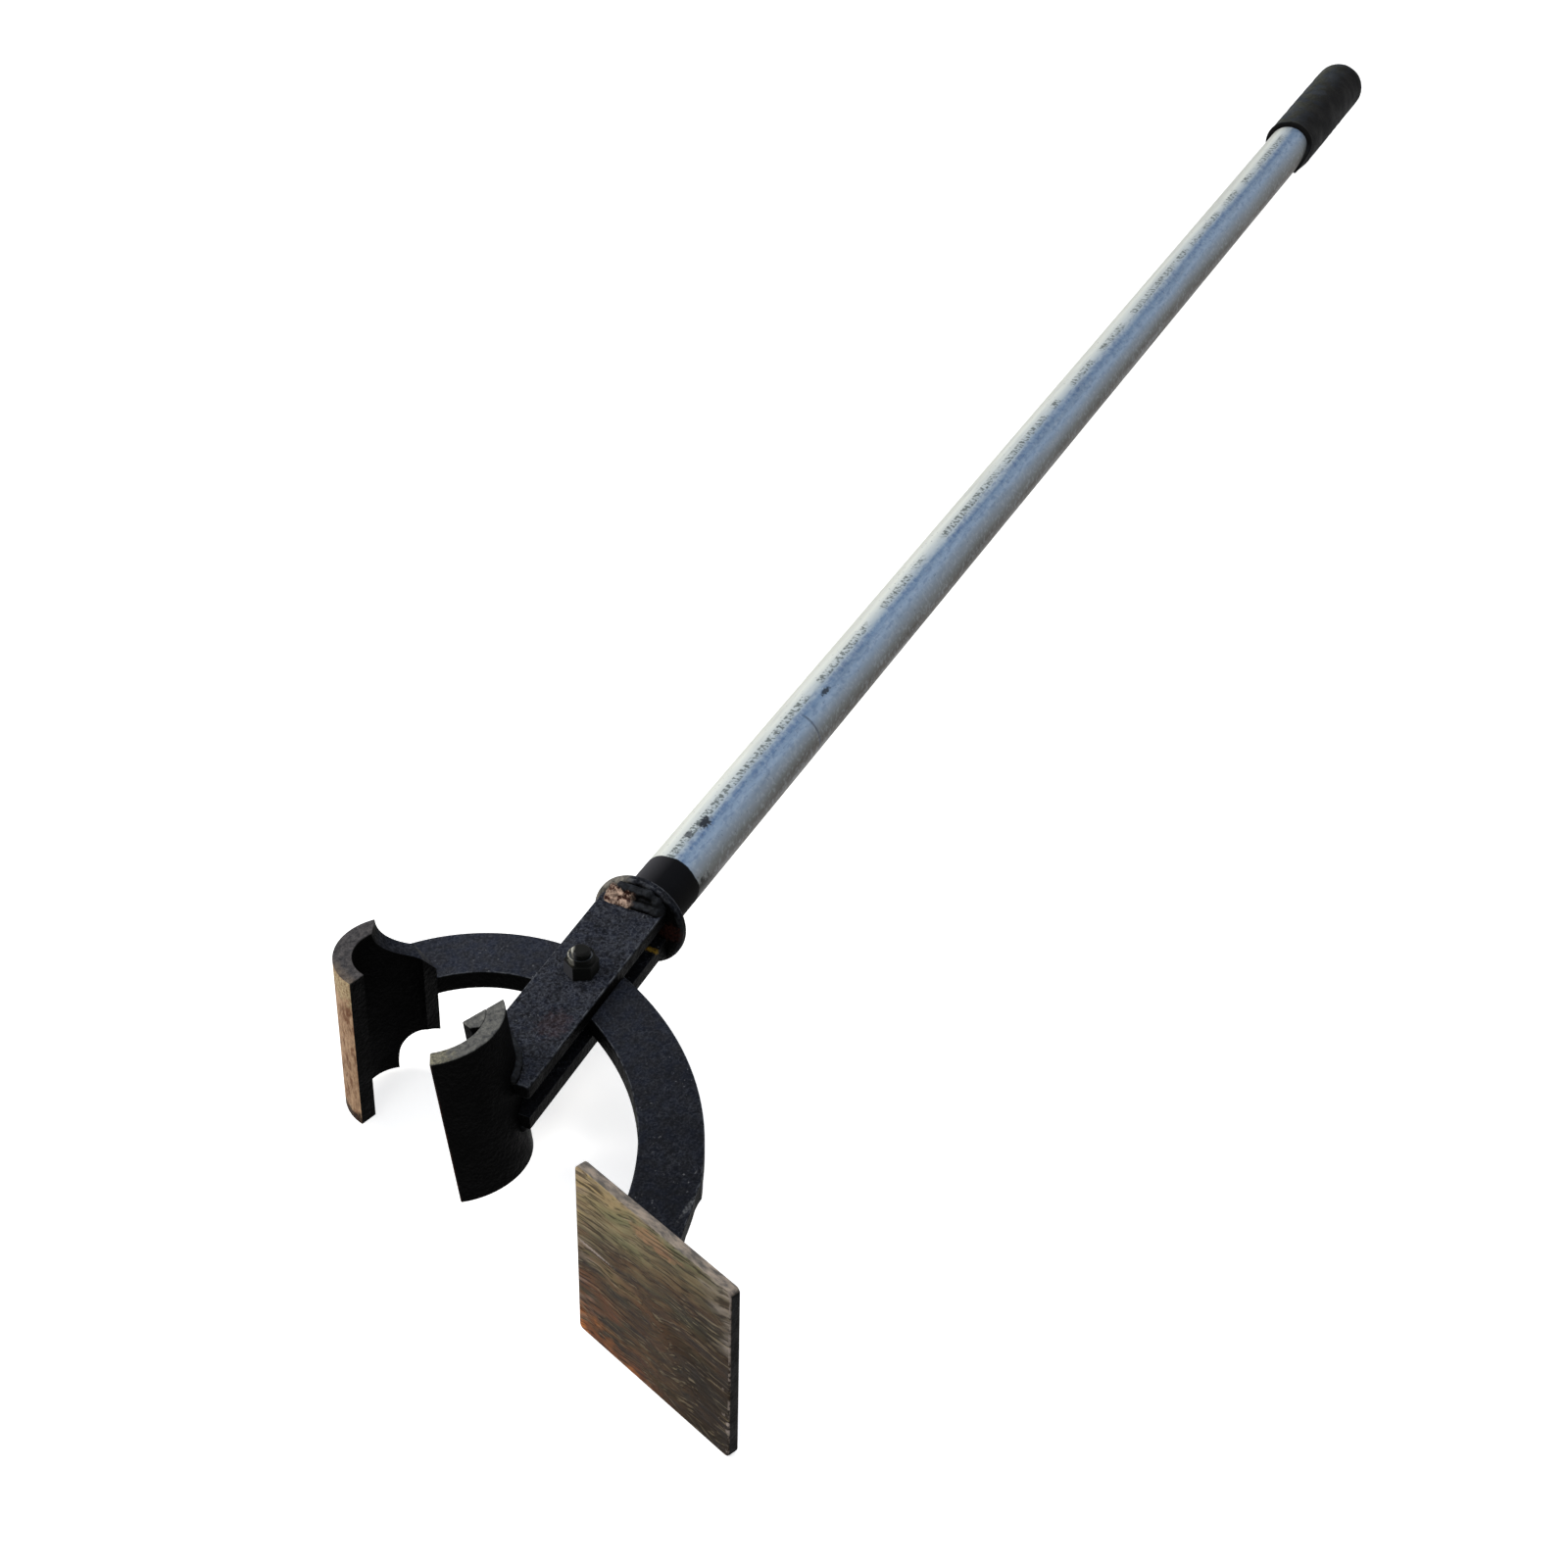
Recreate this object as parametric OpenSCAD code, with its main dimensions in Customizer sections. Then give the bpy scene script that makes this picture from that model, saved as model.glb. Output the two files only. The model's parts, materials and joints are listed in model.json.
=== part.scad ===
// Weed puller: a pair of pipe jaws on a curved frame plate grips a stem at the ground,
// and the long handle, pulled down over the foot plate, closes the jaws and lifts the root.
// The tool lies on its side. Z is square to the frame plate and X runs along the handle.
// The origin is the middle of the foot plate's working face. Sizes are in millimetres.

/* [Foot plate] */
// Width of the foot plate
foot_w = 107; // [90:1:130]
// Height of the foot plate
foot_h = 106; // [90:1:130]
// Thickness of the foot plate
foot_t = 6; // [4:0.5:10]
// Radius of the foot plate's corners
foot_corner = 3; // [1:0.5:8]
// Direction in which the working face looks, in degrees from the handle
foot_angle = 158; // [152:1:164]
// From the middle of the foot plate to the middle of the band that is welded to it
band_seat = 25; // [15:1:32]

/* [Frame plate] */
// Thickness of the frame plate
plate_t = 11; // [8:0.5:16]
// Width of the curved band
band_w = 32.3; // [28:0.1:36]
// Middle radius of the long arc, from the foot plate to the pivot
long_r = 184.2; // [176:0.1:192]
// Middle radius of the short arc, from the pivot to the fixed jaw
short_r = 76.2; // [70:0.1:82]
// Direction of the line on which the two arcs meet
join_angle = -25.5; // [-30:0.5:-24]
// Direction in which the short arc ends behind the fixed jaw
end_angle = 78; // [70:1:82]
// Direction of the pivot from the long arc's centre
pivot_angle = -22.6; // [-26:0.1:-18]
// How far the pivot lies inside the band's middle line
pivot_inset = 4.2; // [0:0.1:6]

/* [Fixed jaw] */
// Outer diameter of the fixed jaw's pipe
fixed_od = 60.3; // [56:0.1:64]
// Wall of the fixed jaw's pipe
fixed_wall = 9.5; // [7:0.5:11]
// Height of the fixed jaw
fixed_h = 93.5; // [84:1:110]
// Direction of the jaw's end beside the band
fixed_from = -10; // [-14:1:-4]
// Direction of the jaw's free tip
fixed_to = 167; // [150:1:172]
// Direction of the fixed jaw from the short arc's centre
fixed_angle = 86; // [80:1:92]
// How far the jaw's back reaches past the band's middle line
fixed_seat = 1.4; // [-2:0.1:3]
// Diameter of the round notches in the fixed jaw
notch_d = 35; // [28:1:40]
// Direction in which the upper notch is cut through the wall
upper_notch_angle = 24; // [18:1:30]
// Sideways place of the upper notch
upper_notch_y = -4.3; // [-7:0.1:-1]
// Turn over which the upper notch's end is bevelled, along the outer face
upper_bevel_turn = 24; // [16:1:30]
// Height that the bevel loses at the jaw's end, at the outer face
upper_bevel_drop = 12; // [4:1:14]
// Direction in which the lower notch is cut through the wall
lower_notch_angle = 31; // [25:1:37]
// Sideways place of the lower notch
lower_notch_y = -14.4; // [-17:0.1:-11]
// Height of the lower notch's centre above the jaw's lower rim
lower_notch_rise = 4.4; // [0:0.1:7]
// Downward slope of the lower notch
lower_notch_slope = 35; // [20:1:40]

/* [Moving jaw] */
// Outer diameter of the moving jaw's pipe
moving_od = 73; // [68:0.1:80]
// Wall of the moving jaw's pipe
moving_wall = 9.5; // [7:0.5:11]
// Height of the moving jaw
moving_h = 86.8; // [78:0.1:96]
// Direction of the moving jaw's free edge
moving_from = 210.7; // [205:0.1:220]
// Direction of the moving jaw's lipped edge
moving_to = 314.2; // [304:0.1:320]
// Lean of the moving jaw about the handle's line
jaw_lean = 8.4; // [0:0.1:10]
// Distance of the moving jaw's centre in front of the pivot
jaw_reach = 95.1; // [92:0.1:98]
// Sideways distance of the moving jaw's centre from the pivot
jaw_side = 23.8; // [21:0.1:28]
// Length of the lip with the wall that it is cut flush with
lip_l = 24.8; // [18:0.1:28]
// Thickness of the lip
lip_t = 9.5; // [7:0.5:11]
// Thickness of the lip's biting edge
lip_edge = 6.5; // [3:0.5:6.5]
// Length of the bevel behind the biting edge
lip_bevel = 3.6; // [2:0.1:8]
// Direction in which the lip points
lip_angle = 156.5; // [150:0.1:166]

/* [Fork] */
// Width of each fork bar
bar_w = 38; // [32:1:42]
// Thickness of each fork bar
bar_t = 8; // [6:0.5:10]
// Running gap between the frame plate and each fork bar
fork_gap = 0.3; // [0.3:0.1:1.5]
// From the pivot to the end disc
fork_back = 63.4; // [58:0.1:75]
// From the pivot to the bars' ends beside the moving jaw
fork_front = 90; // [80:1:100]
// Sideways distance of the handle's line from the pivot
fork_side = 1.3; // [0:0.1:3]
// Turn of the fork bars out of the handle's line
fork_skew = 1.5; // [0:0.1:2.5]
// Diameter of the end disc
disc_d = 53.6; // [48:0.1:60]
// Thickness of the end disc
disc_t = 6; // [4:0.5:10]

/* [Pivot] */
// Diameter of the pivot bolt
bolt_d = 10; // [8:0.5:12]
// Radial clearance of the bolt in every hole
bolt_fit = 0.05; // [0.01:0.01:0.1]
// Size across the flats of the bolt head and the nut
hex_af = 16; // [15:0.5:19]
// Height of the bolt head
head_h = 6.4; // [5:0.1:8]
// Height of the nut's hexagon
nut_h = 8; // [6:0.5:10]
// Diameter of the nut's round collar
collar_d = 14; // [13.5:0.1:15]
// Height of the nut's round collar
collar_h = 3.5; // [2:0.1:5]
// Wall of the nut's round collar
collar_wall = 0.8; // [0.5:0.1:0.9]
// How far the bolt stands out of the nut
bolt_proud = 3.1; // [1:0.1:6]
// Diameter of the washer under the bolt head
washer_d = 20; // [18:0.5:24]
// Thickness of the washer
washer_t = 2; // [1:0.1:3]

/* [Handle] */
// Outer diameter of the handle pipe
pipe_od = 33.7; // [30:0.1:38]
// Wall of the handle pipe
pipe_wall = 3.2; // [2:0.1:4]
// Length of the handle pipe
pipe_l = 1304; // [900:1:1600]
// Outer diameter of the hand grip
grip_od = 41; // [39:0.1:46]
// Length of the hand grip
grip_l = 159; // [110:1:200]
// Thickness of the hand grip's closed end
grip_end = 10; // [9.5:0.5:16]
// Rounding of the hand grip's end
grip_corner = 15; // [8:0.5:17]
// Height of the rolled rim at the hand grip's mouth
grip_rim = 0.5; // [0.3:0.1:1]
// Clearance of the hand grip round the pipe
grip_fit = 0.05; // [0:0.01:0.3]

/* [Welds] */
// Leg of the fillet welds
weld_leg = 5; // [3:0.5:6]
// Direction in which the weld behind the fixed jaw starts
jaw_weld_from = 8; // [4:1:16]
// Direction in which the weld behind the fixed jaw ends
jaw_weld_to = 62; // [50:1:66]

/* [Hidden] */
$fn = 120;
hex_fn = 6;

black_paint = "#2b2d31";
bare_foot = "#7d6a52";
weld_steel = "#6d4a38";
zinc = "#a9adb2";
galvanised = "#b7bfca";
nylon = "#3b5f8a";
rubber = "#2c2d2f";

// A point at direction a and distance r
function at(a, r) = [r * cos(a), r * sin(a)];

// Where the band meets the back of the foot plate, running along the handle's direction
band_foot = at(foot_angle, -foot_t) + at(foot_angle - 90, band_seat);
long_c = band_foot + [0, long_r];
short_c = long_c + at(join_angle, long_r - short_r);
pivot = long_c + at(pivot_angle, long_r - pivot_inset);
fixed_r = fixed_od / 2;
fixed_c = short_c + at(fixed_angle, short_r + fixed_seat - fixed_r);
// The long arc starts a little past the foot plate's back, which then cuts it
arc_spare = 8;

plate_top = plate_t / 2;
bar_in = plate_top + fork_gap;
bar_out = bar_in + bar_t;
moving_r = moving_od / 2;
pipe_r = pipe_od / 2;
disc_end = fork_back + disc_t;
pipe_end = disc_end + pipe_l;
grip_mouth = pipe_end + grip_end - grip_l;
bolt_r = bolt_d / 2;
hole_r = bolt_r + bolt_fit;
hex_r = hex_af / 2 / cos(30);
bolt_tip = 1;
notch_r = notch_d / 2;
// Cutting shapes reach this far past what they cut
past = 60;
// The moving jaw's pipe is cut this far past its lipped edge, before the lip trims it
jaw_spare = 20;
// The welds on the foot plate and the end disc stop this far inside the piece's width
weld_inset = 2;
// The rolled rim starts this far behind the hand grip's mouth
rim_inset = 0.5;

// A piece of a ring of rectangular section, centred on z = 0
module ring_piece(r_in, wall, h, from, to) {
    rotate([0, 0, from])
        rotate_extrude(angle = to - from)
            translate([r_in, -h / 2])
                square([wall, h]);
}

// A rectangle with round corners
module rounded_rect(w, h, r) {
    square([w - 2 * r, h], center = true);
    square([w, h - 2 * r], center = true);
    for (x = [-1, 1], y = [-1, 1])
        translate([x * (w / 2 - r), y * (h / 2 - r)])
            circle(r);
}

// A straight fillet weld along Y, in the corner of the planes x = 0 and z = 0
module fillet(leg, l) {
    rotate([90, 0, 0])
        linear_extrude(l, center = true)
            polygon([[0, 0], [-leg, 0], [0, leg]]);
}

// Places a piece in the lever's frame, whose origin is the pivot
module on_lever() {
    translate([pivot[0], pivot[1], 0])
        children();
}

// The space of one fork bar before it is coped to the jaw, from z = 0 up
module bar_blank(h) {
    difference() {
        translate([0, fork_side, 0])
            rotate([0, 0, fork_skew])
                translate([-fork_front, -bar_w / 2, 0])
                    cube([fork_front + fork_back + past, bar_w, h]);
        translate([fork_back, -past, -1])
            cube([2 * past, 2 * past, h + 2]);
    }
}

// The full round of the moving jaw's outer face, with its lean
module jaw_round(r, h) {
    translate([-jaw_reach, jaw_side, 0])
        rotate([-jaw_lean, 0, 0])
            cylinder(r = r, h = h, center = true);
}

// Foot plate: a flat plate with worn round corners
module foot_plate() {
    color(bare_foot)
        rotate([0, 0, foot_angle])
            translate([-foot_t, 0, 0])
                rotate([90, 0, 90])
                    linear_extrude(foot_t)
                        rounded_rect(foot_w, foot_h, foot_corner);
}

module foot_weld(side) {
    color(weld_steel)
        scale([1, 1, side])
            rotate([0, 0, foot_angle])
                translate([-foot_t, -band_seat, plate_top])
                    fillet(weld_leg, band_w - weld_inset);
}

// The flat outline of a band of middle radius r between two directions
module band(r, from, to) {
    reach = 2 * r;
    intersection() {
        difference() {
            circle(r + band_w / 2);
            circle(r - band_w / 2);
        }
        polygon([[0, 0], at(from, reach), at((from + to) / 2, reach), at(to, reach)]);
    }
}

// Frame plate: two bands of one width whose arcs meet in a smooth line
module frame_plate() {
    color(black_paint)
        linear_extrude(plate_t, center = true)
            difference() {
                union() {
                    translate(long_c)
                        band(long_r, -90 - arc_spare, join_angle);
                    translate(short_c)
                        band(short_r, join_angle, end_angle);
                }
                // the seat of the fixed jaw
                translate(fixed_c)
                    circle(fixed_r);
                // the pivot hole
                translate(pivot)
                    circle(hole_r);
                // the end that sits on the foot plate's back
                rotate(foot_angle)
                    translate([-foot_t, -foot_w])
                        square([past, 2 * foot_w]);
            }
}

// The space of the flat bevel beside the band, from the upper notch's floor down to the jaw's
// end: its plane turns about the line between its upper corners
module upper_bevel() {
    outer_corner = at(fixed_from + upper_bevel_turn, fixed_r);
    inner_corner = at(fixed_from, fixed_r - fixed_wall);
    low_corner = at(fixed_from, fixed_r);
    line = inner_corner - outer_corner;
    reach = cross(line, low_corner - outer_corner) / norm(line);
    translate([outer_corner[0], outer_corner[1], fixed_h / 2 - notch_r])
        rotate([0, 0, atan2(line[1], line[0])])
            rotate([-atan2(upper_bevel_drop, reach), 0, 0])
                translate([-past, 0, 0])
                    cube([2 * past, past, past]);
}

// Fixed jaw: half a thick pipe, notched above and below the band
module fixed_jaw() {
    color(black_paint)
        translate([fixed_c[0], fixed_c[1], 0])
            difference() {
                ring_piece(fixed_r - fixed_wall, fixed_wall, fixed_h, fixed_from, fixed_to);
                rotate([0, 0, upper_notch_angle])
                    translate([0, upper_notch_y, fixed_h / 2]) {
                        rotate([0, 90, 0])
                            cylinder(r = notch_r, h = past);
                        translate([0, -past, -notch_r])
                            cube([past, past, past]);
                    }
                upper_bevel();
                rotate([0, 0, lower_notch_angle])
                    translate([fixed_r - fixed_wall, lower_notch_y, lower_notch_rise - fixed_h / 2])
                        rotate([0, 90 + lower_notch_slope, 0])
                            cylinder(r = notch_r, h = past, center = true);
            }
}

// Fillet weld between the fixed jaw's back and the band
module fixed_jaw_weld(side) {
    color(weld_steel)
        scale([1, 1, side])
            translate([fixed_c[0], fixed_c[1], plate_top])
                rotate([0, 0, jaw_weld_from])
                    rotate_extrude(angle = jaw_weld_to - jaw_weld_from)
                        polygon([[fixed_r, 0], [fixed_r + weld_leg, 0], [fixed_r, weld_leg]]);
}

// Fork bars, coped to the moving jaw's round back
module fork_bar(side) {
    color(black_paint)
        on_lever()
            difference() {
                translate([0, 0, side > 0 ? bar_in : -bar_out])
                    bar_blank(bar_t);
                jaw_round(moving_r, 2 * moving_h);
                cylinder(r = hole_r, h = 4 * bar_out, center = true);
            }
}

// Moving jaw: part of a larger thick pipe
module moving_jaw() {
    color(black_paint)
        on_lever()
            translate([-jaw_reach, jaw_side, 0])
                rotate([-jaw_lean, 0, 0])
                    difference() {
                        ring_piece(moving_r - moving_wall, moving_wall, moving_h, moving_from, moving_to + jaw_spare);
                        lip_frame()
                            translate([-past, 0, -moving_h])
                                cube([2 * past, past, 2 * moving_h]);
                    }
}

// The lip's own frame: its face is y = 0 and it points along -X from the jaw's outer corner
module lip_frame() {
    translate(at(moving_to, moving_r))
        rotate([0, 0, lip_angle - 180])
            children();
}

// Lip: a flat bar along the moving jaw's end, bevelled to the edge that bites the stem
module moving_jaw_lip() {
    color(black_paint)
        on_lever()
            translate([-jaw_reach, jaw_side, 0])
                rotate([-jaw_lean, 0, 0])
                    intersection() {
                        lip_frame()
                            linear_extrude(moving_h, center = true)
                                polygon([
                                    [0, 0], [-lip_l, 0], [-lip_l, -lip_edge],
                                    [-lip_l + lip_bevel, -lip_t], [0, -lip_t]
                                ]);
                        cylinder(r = moving_r - moving_wall, h = 2 * moving_h, center = true);
                    }
}

// Fillet weld between the moving jaw's back and the face of a fork bar
module moving_jaw_weld(side) {
    color(weld_steel)
        on_lever()
            difference() {
                intersection() {
                    translate([-jaw_reach, jaw_side + side * bar_out * tan(jaw_lean), side * bar_out])
                        scale([1, 1, side])
                            cylinder(r1 = moving_r + weld_leg, r2 = moving_r, h = weld_leg);
                    translate([0, 0, side > 0 ? bar_out : -bar_out - weld_leg])
                        bar_blank(weld_leg);
                }
                jaw_round(moving_r, 2 * moving_h);
            }
}

// End disc that joins the fork bars to the handle pipe
module fork_disc() {
    color(black_paint)
        on_lever()
            translate([fork_back, fork_side, 0])
                rotate([0, 90, 0])
                    cylinder(d = disc_d, h = disc_t);
}

// Fillet weld between a fork bar and the end disc
module fork_weld(side) {
    color(weld_steel)
        on_lever()
            scale([1, 1, side])
                translate([fork_back, fork_side, bar_out])
                    fillet(weld_leg, bar_w - weld_inset);
}

// Hexagon with its flats square to X
module hexagon(h) {
    cylinder(r = hex_r, h = h, $fn = hex_fn);
}

// Pivot bolt, with its head below
module pivot_bolt() {
    color(zinc)
        on_lever() {
            translate([0, 0, -bar_out - washer_t - head_h])
                hexagon(head_h);
            translate([0, 0, -bar_out - washer_t])
                cylinder(r = bolt_r, h = 2 * bar_out + washer_t + nut_h + collar_h + bolt_proud - bolt_tip);
            translate([0, 0, bar_out + nut_h + collar_h + bolt_proud - bolt_tip])
                cylinder(r1 = bolt_r, r2 = bolt_r - bolt_tip, h = bolt_tip);
        }
}

module bolt_washer() {
    color(zinc)
        on_lever()
            translate([0, 0, -bar_out - washer_t])
                difference() {
                    cylinder(d = washer_d, h = washer_t);
                    translate([0, 0, -1])
                        cylinder(r = hole_r, h = washer_t + 2);
                }
}

// Lock nut: a hexagon with a thin round collar that holds a plastic ring
module lock_nut() {
    color(zinc)
        on_lever()
            translate([0, 0, bar_out])
                difference() {
                    union() {
                        hexagon(nut_h);
                        cylinder(d = collar_d, h = nut_h + collar_h);
                    }
                    translate([0, 0, -1])
                        cylinder(r = hole_r, h = nut_h + 2);
                    translate([0, 0, nut_h])
                        cylinder(d = collar_d - 2 * collar_wall, h = collar_h + 1);
                }
}

module lock_nut_ring() {
    color(nylon)
        on_lever()
            translate([0, 0, bar_out + nut_h])
                difference() {
                    cylinder(d = collar_d - 2 * collar_wall, h = collar_h - collar_wall);
                    translate([0, 0, -1])
                        cylinder(r = hole_r, h = collar_h + 2);
                }
}

// Handle pipe
module handle_pipe() {
    color(galvanised)
        on_lever()
            translate([disc_end, fork_side, 0])
                rotate([0, 90, 0])
                    difference() {
                        cylinder(r = pipe_r, h = pipe_l);
                        translate([0, 0, -1])
                            cylinder(r = pipe_r - pipe_wall, h = pipe_l + 2);
                    }
}

// Fillet weld round the handle pipe's foot
module handle_weld() {
    color(weld_steel)
        on_lever()
            translate([disc_end, fork_side, 0])
                rotate([0, 90, 0])
                    rotate_extrude()
                        polygon([[pipe_r, 0], [pipe_r + weld_leg, 0], [pipe_r, weld_leg]]);
}

// Hand grip: a closed rubber sleeve with a rolled rim and a round end
module hand_grip() {
    grip_r = grip_od / 2;
    color(rubber)
        on_lever()
            translate([grip_mouth, fork_side, 0])
                rotate([0, 90, 0])
                    difference() {
                        rotate_extrude() {
                            difference() {
                                square([grip_r, grip_l]);
                                translate([grip_r - grip_corner, grip_l - grip_corner])
                                    difference() {
                                        square(2 * grip_corner);
                                        circle(grip_corner);
                                    }
                            }
                            translate([grip_r - grip_rim, 2 * grip_rim + rim_inset])
                                circle(2 * grip_rim);
                        }
                        translate([0, 0, -1])
                            cylinder(r = pipe_r + grip_fit, h = grip_l - grip_end + 1);
                    }
}

frame_plate();
fixed_jaw();
fixed_jaw_weld(1);  // fixed_jaw_weld_upper
fixed_jaw_weld(-1);  // fixed_jaw_weld_lower
foot_plate();
foot_weld(1);  // foot_plate_weld_upper
foot_weld(-1);  // foot_plate_weld_lower
fork_bar(1);  // upper_fork_bar
fork_bar(-1);  // lower_fork_bar
moving_jaw();
moving_jaw_lip();
moving_jaw_weld(1);  // moving_jaw_weld_upper
moving_jaw_weld(-1);  // moving_jaw_weld_lower
fork_disc();
fork_weld(1);  // fork_weld_upper
fork_weld(-1);  // fork_weld_lower
pivot_bolt();
bolt_washer();
lock_nut();
lock_nut_ring();
handle_pipe();
handle_weld();
hand_grip();
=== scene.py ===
import json
import math
from functools import partial

import bmesh
import bpy
from mathutils import Matrix, Vector, noise


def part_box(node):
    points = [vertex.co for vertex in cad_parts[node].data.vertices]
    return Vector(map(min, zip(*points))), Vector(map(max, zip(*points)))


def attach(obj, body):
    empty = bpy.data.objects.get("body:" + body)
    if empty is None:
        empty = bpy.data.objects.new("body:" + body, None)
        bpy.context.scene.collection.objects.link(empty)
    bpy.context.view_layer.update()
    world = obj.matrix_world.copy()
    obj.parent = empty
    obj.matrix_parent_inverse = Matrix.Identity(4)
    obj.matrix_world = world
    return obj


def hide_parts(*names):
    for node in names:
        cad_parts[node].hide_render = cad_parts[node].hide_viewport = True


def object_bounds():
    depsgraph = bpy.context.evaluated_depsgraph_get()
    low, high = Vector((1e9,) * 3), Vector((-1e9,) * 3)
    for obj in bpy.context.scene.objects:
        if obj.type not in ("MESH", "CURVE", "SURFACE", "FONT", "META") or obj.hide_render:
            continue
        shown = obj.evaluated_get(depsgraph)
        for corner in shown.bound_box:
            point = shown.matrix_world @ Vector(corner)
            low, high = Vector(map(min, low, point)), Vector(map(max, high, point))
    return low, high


# A lever weed puller lying on its side: a black painted frame and fork, two pipe jaws,
# a bare foot plate, a galvanised handle and a rubber grip.

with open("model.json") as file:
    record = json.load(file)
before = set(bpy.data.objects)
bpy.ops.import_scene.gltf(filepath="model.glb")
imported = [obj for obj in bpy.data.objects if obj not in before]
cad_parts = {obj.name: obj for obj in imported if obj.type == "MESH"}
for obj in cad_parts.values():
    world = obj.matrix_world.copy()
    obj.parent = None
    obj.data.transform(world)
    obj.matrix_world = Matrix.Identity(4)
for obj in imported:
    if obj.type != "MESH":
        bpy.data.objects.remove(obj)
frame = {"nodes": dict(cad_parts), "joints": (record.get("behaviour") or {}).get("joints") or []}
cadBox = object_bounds()
mm = 0.001
upwards = Vector((0, 0, 1))
pivot = Vector(frame["joints"][0]["pos_m"])
print("frame loaded, pivot at", tuple(round(c, 4) for c in pivot))


# Small helpers

def toLinear(hexColour):
    channels = [int(hexColour[i:i + 2], 16) / 255 for i in (1, 3, 5)]
    return tuple(c / 12.92 if c <= 0.04045 else ((c + 0.055) / 1.055) ** 2.4 for c in channels) + (1,)


def flatPoint(centre, degrees, radius):
    a = math.radians(degrees)
    return centre + Vector((math.cos(a), math.sin(a), 0)) * radius


def placeObject(name, data):
    thing = bpy.data.objects.new(name, data)
    bpy.context.scene.collection.objects.link(thing)
    return thing


def toMesh(bm, name):
    mesh = bpy.data.meshes.new(name)
    bm.to_mesh(mesh)
    bm.free()
    return mesh


# for two kinds of node: the sockets that plain values fill, the output used and the usual settings
nodeHabits = {"Mix": ((0, 6, 7), 2, {"data_type": "RGBA"}),
              "Math": ((0, 1), 0, {"operation": "MULTIPLY", "use_clamp": True})}


def fill(node, sockets):
    # links or sets sockets by name or number, and a colour may be a hex value
    for key, value in sockets.items():
        if isinstance(value, bpy.types.NodeSocket):
            node.id_data.links.new(value, node.inputs[key])
        else:
            node.inputs[key].default_value = toLinear(value) if isinstance(value, str) else value


def addNode(tree, kind, *values, out=None, **named):
    # Plain values fill sockets in order, a name with a capital fills the socket of that name,
    # and every other name is a setting. The output that is used comes back.
    order, usualOut, settings = nodeHabits.get(kind, (range(len(values)), 0, {}))
    node = tree.nodes.new("ShaderNode" + kind)
    sockets = {name: value for name, value in named.items() if name[0].isupper()}
    for name, value in {**settings, **named}.items():
        if name not in sockets:
            setattr(node, name, value)
    fill(node, dict(zip(order, values)) | sockets)
    return node.outputs[usualOut if out is None else out]


def newMaterial(name):
    material = bpy.data.materials.new(name)
    material.use_nodes = True
    tree = material.node_tree
    return material, partial(addNode, tree), tree.nodes["Principled BSDF"]


# Patterns that several materials share; add is addNode for one material's tree

def grain(add, vector, sizeMm, detail=2.0, rough=0.5, low=0.35, high=0.65):
    # noise with bumps about sizeMm across, spread from 0 to 1
    pattern = add("TexNoise", Vector=vector, Scale=1 / (sizeMm * mm), Detail=detail, Roughness=rough)
    return add("MapRange", pattern, low, high)


def unsettle(add, value, pattern, reach, low=0.0, high=1.0):
    # the value shifted up or down, by at most reach, as the pattern goes from low to high
    shift = add("MapRange", pattern, low, high, -reach, reach)
    return add("Math", value, shift, operation="ADD", use_clamp=False)


def farFrom(add, value, middle):
    # how far the value lies from the middle, to either side
    away = add("Math", value, middle, operation="SUBTRACT", use_clamp=False)
    return add("Math", away, operation="ABSOLUTE", use_clamp=False)


def pastPlane(add, place, area):
    # 1 past a ragged plane through area["from"] and square to area["along"], 0 in front of it
    along = Vector(area["along"]).normalized()
    start = along.dot(Vector(area["from"]))
    depth = add("VectorMath", place, along, operation="DOT_PRODUCT", out="Value")
    ragged = add("TexNoise", Vector=place, Scale=1 / (7 * mm), Detail=4.0)
    depth = unsettle(add, depth, ragged, 2 * area["ragged"] * mm)
    return add("MapRange", depth, start, start + area["soft"] * mm)


def inPatch(add, place, patch):
    # 1 inside a ragged egg shape with the half sizes patch["size"], in millimetres
    away = add("VectorMath", place, Vector(patch["at"]) * mm, operation="SUBTRACT")
    share = add("VectorMath", away, Vector(patch["size"]) * mm, operation="DIVIDE")
    reach = add("VectorMath", share, operation="LENGTH", out="Value")
    ragged = add("TexNoise", Vector=place, Scale=1 / (patch.get("grain", 2.5) * mm), Detail=3.0)
    reach = unsettle(add, reach, ragged, 0.5, 0.25, 0.75)
    return add("Math", add("MapRange", reach, 1.15, 0.65), patch["amount"])


def looking(add, normal, direction, start=0.25, end=0.6):
    # 1 on faces that look along a direction
    facing = add("VectorMath", normal, Vector(direction).normalized(), operation="DOT_PRODUCT", out="Value")
    return add("MapRange", facing, start, end)


# Materials

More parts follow.
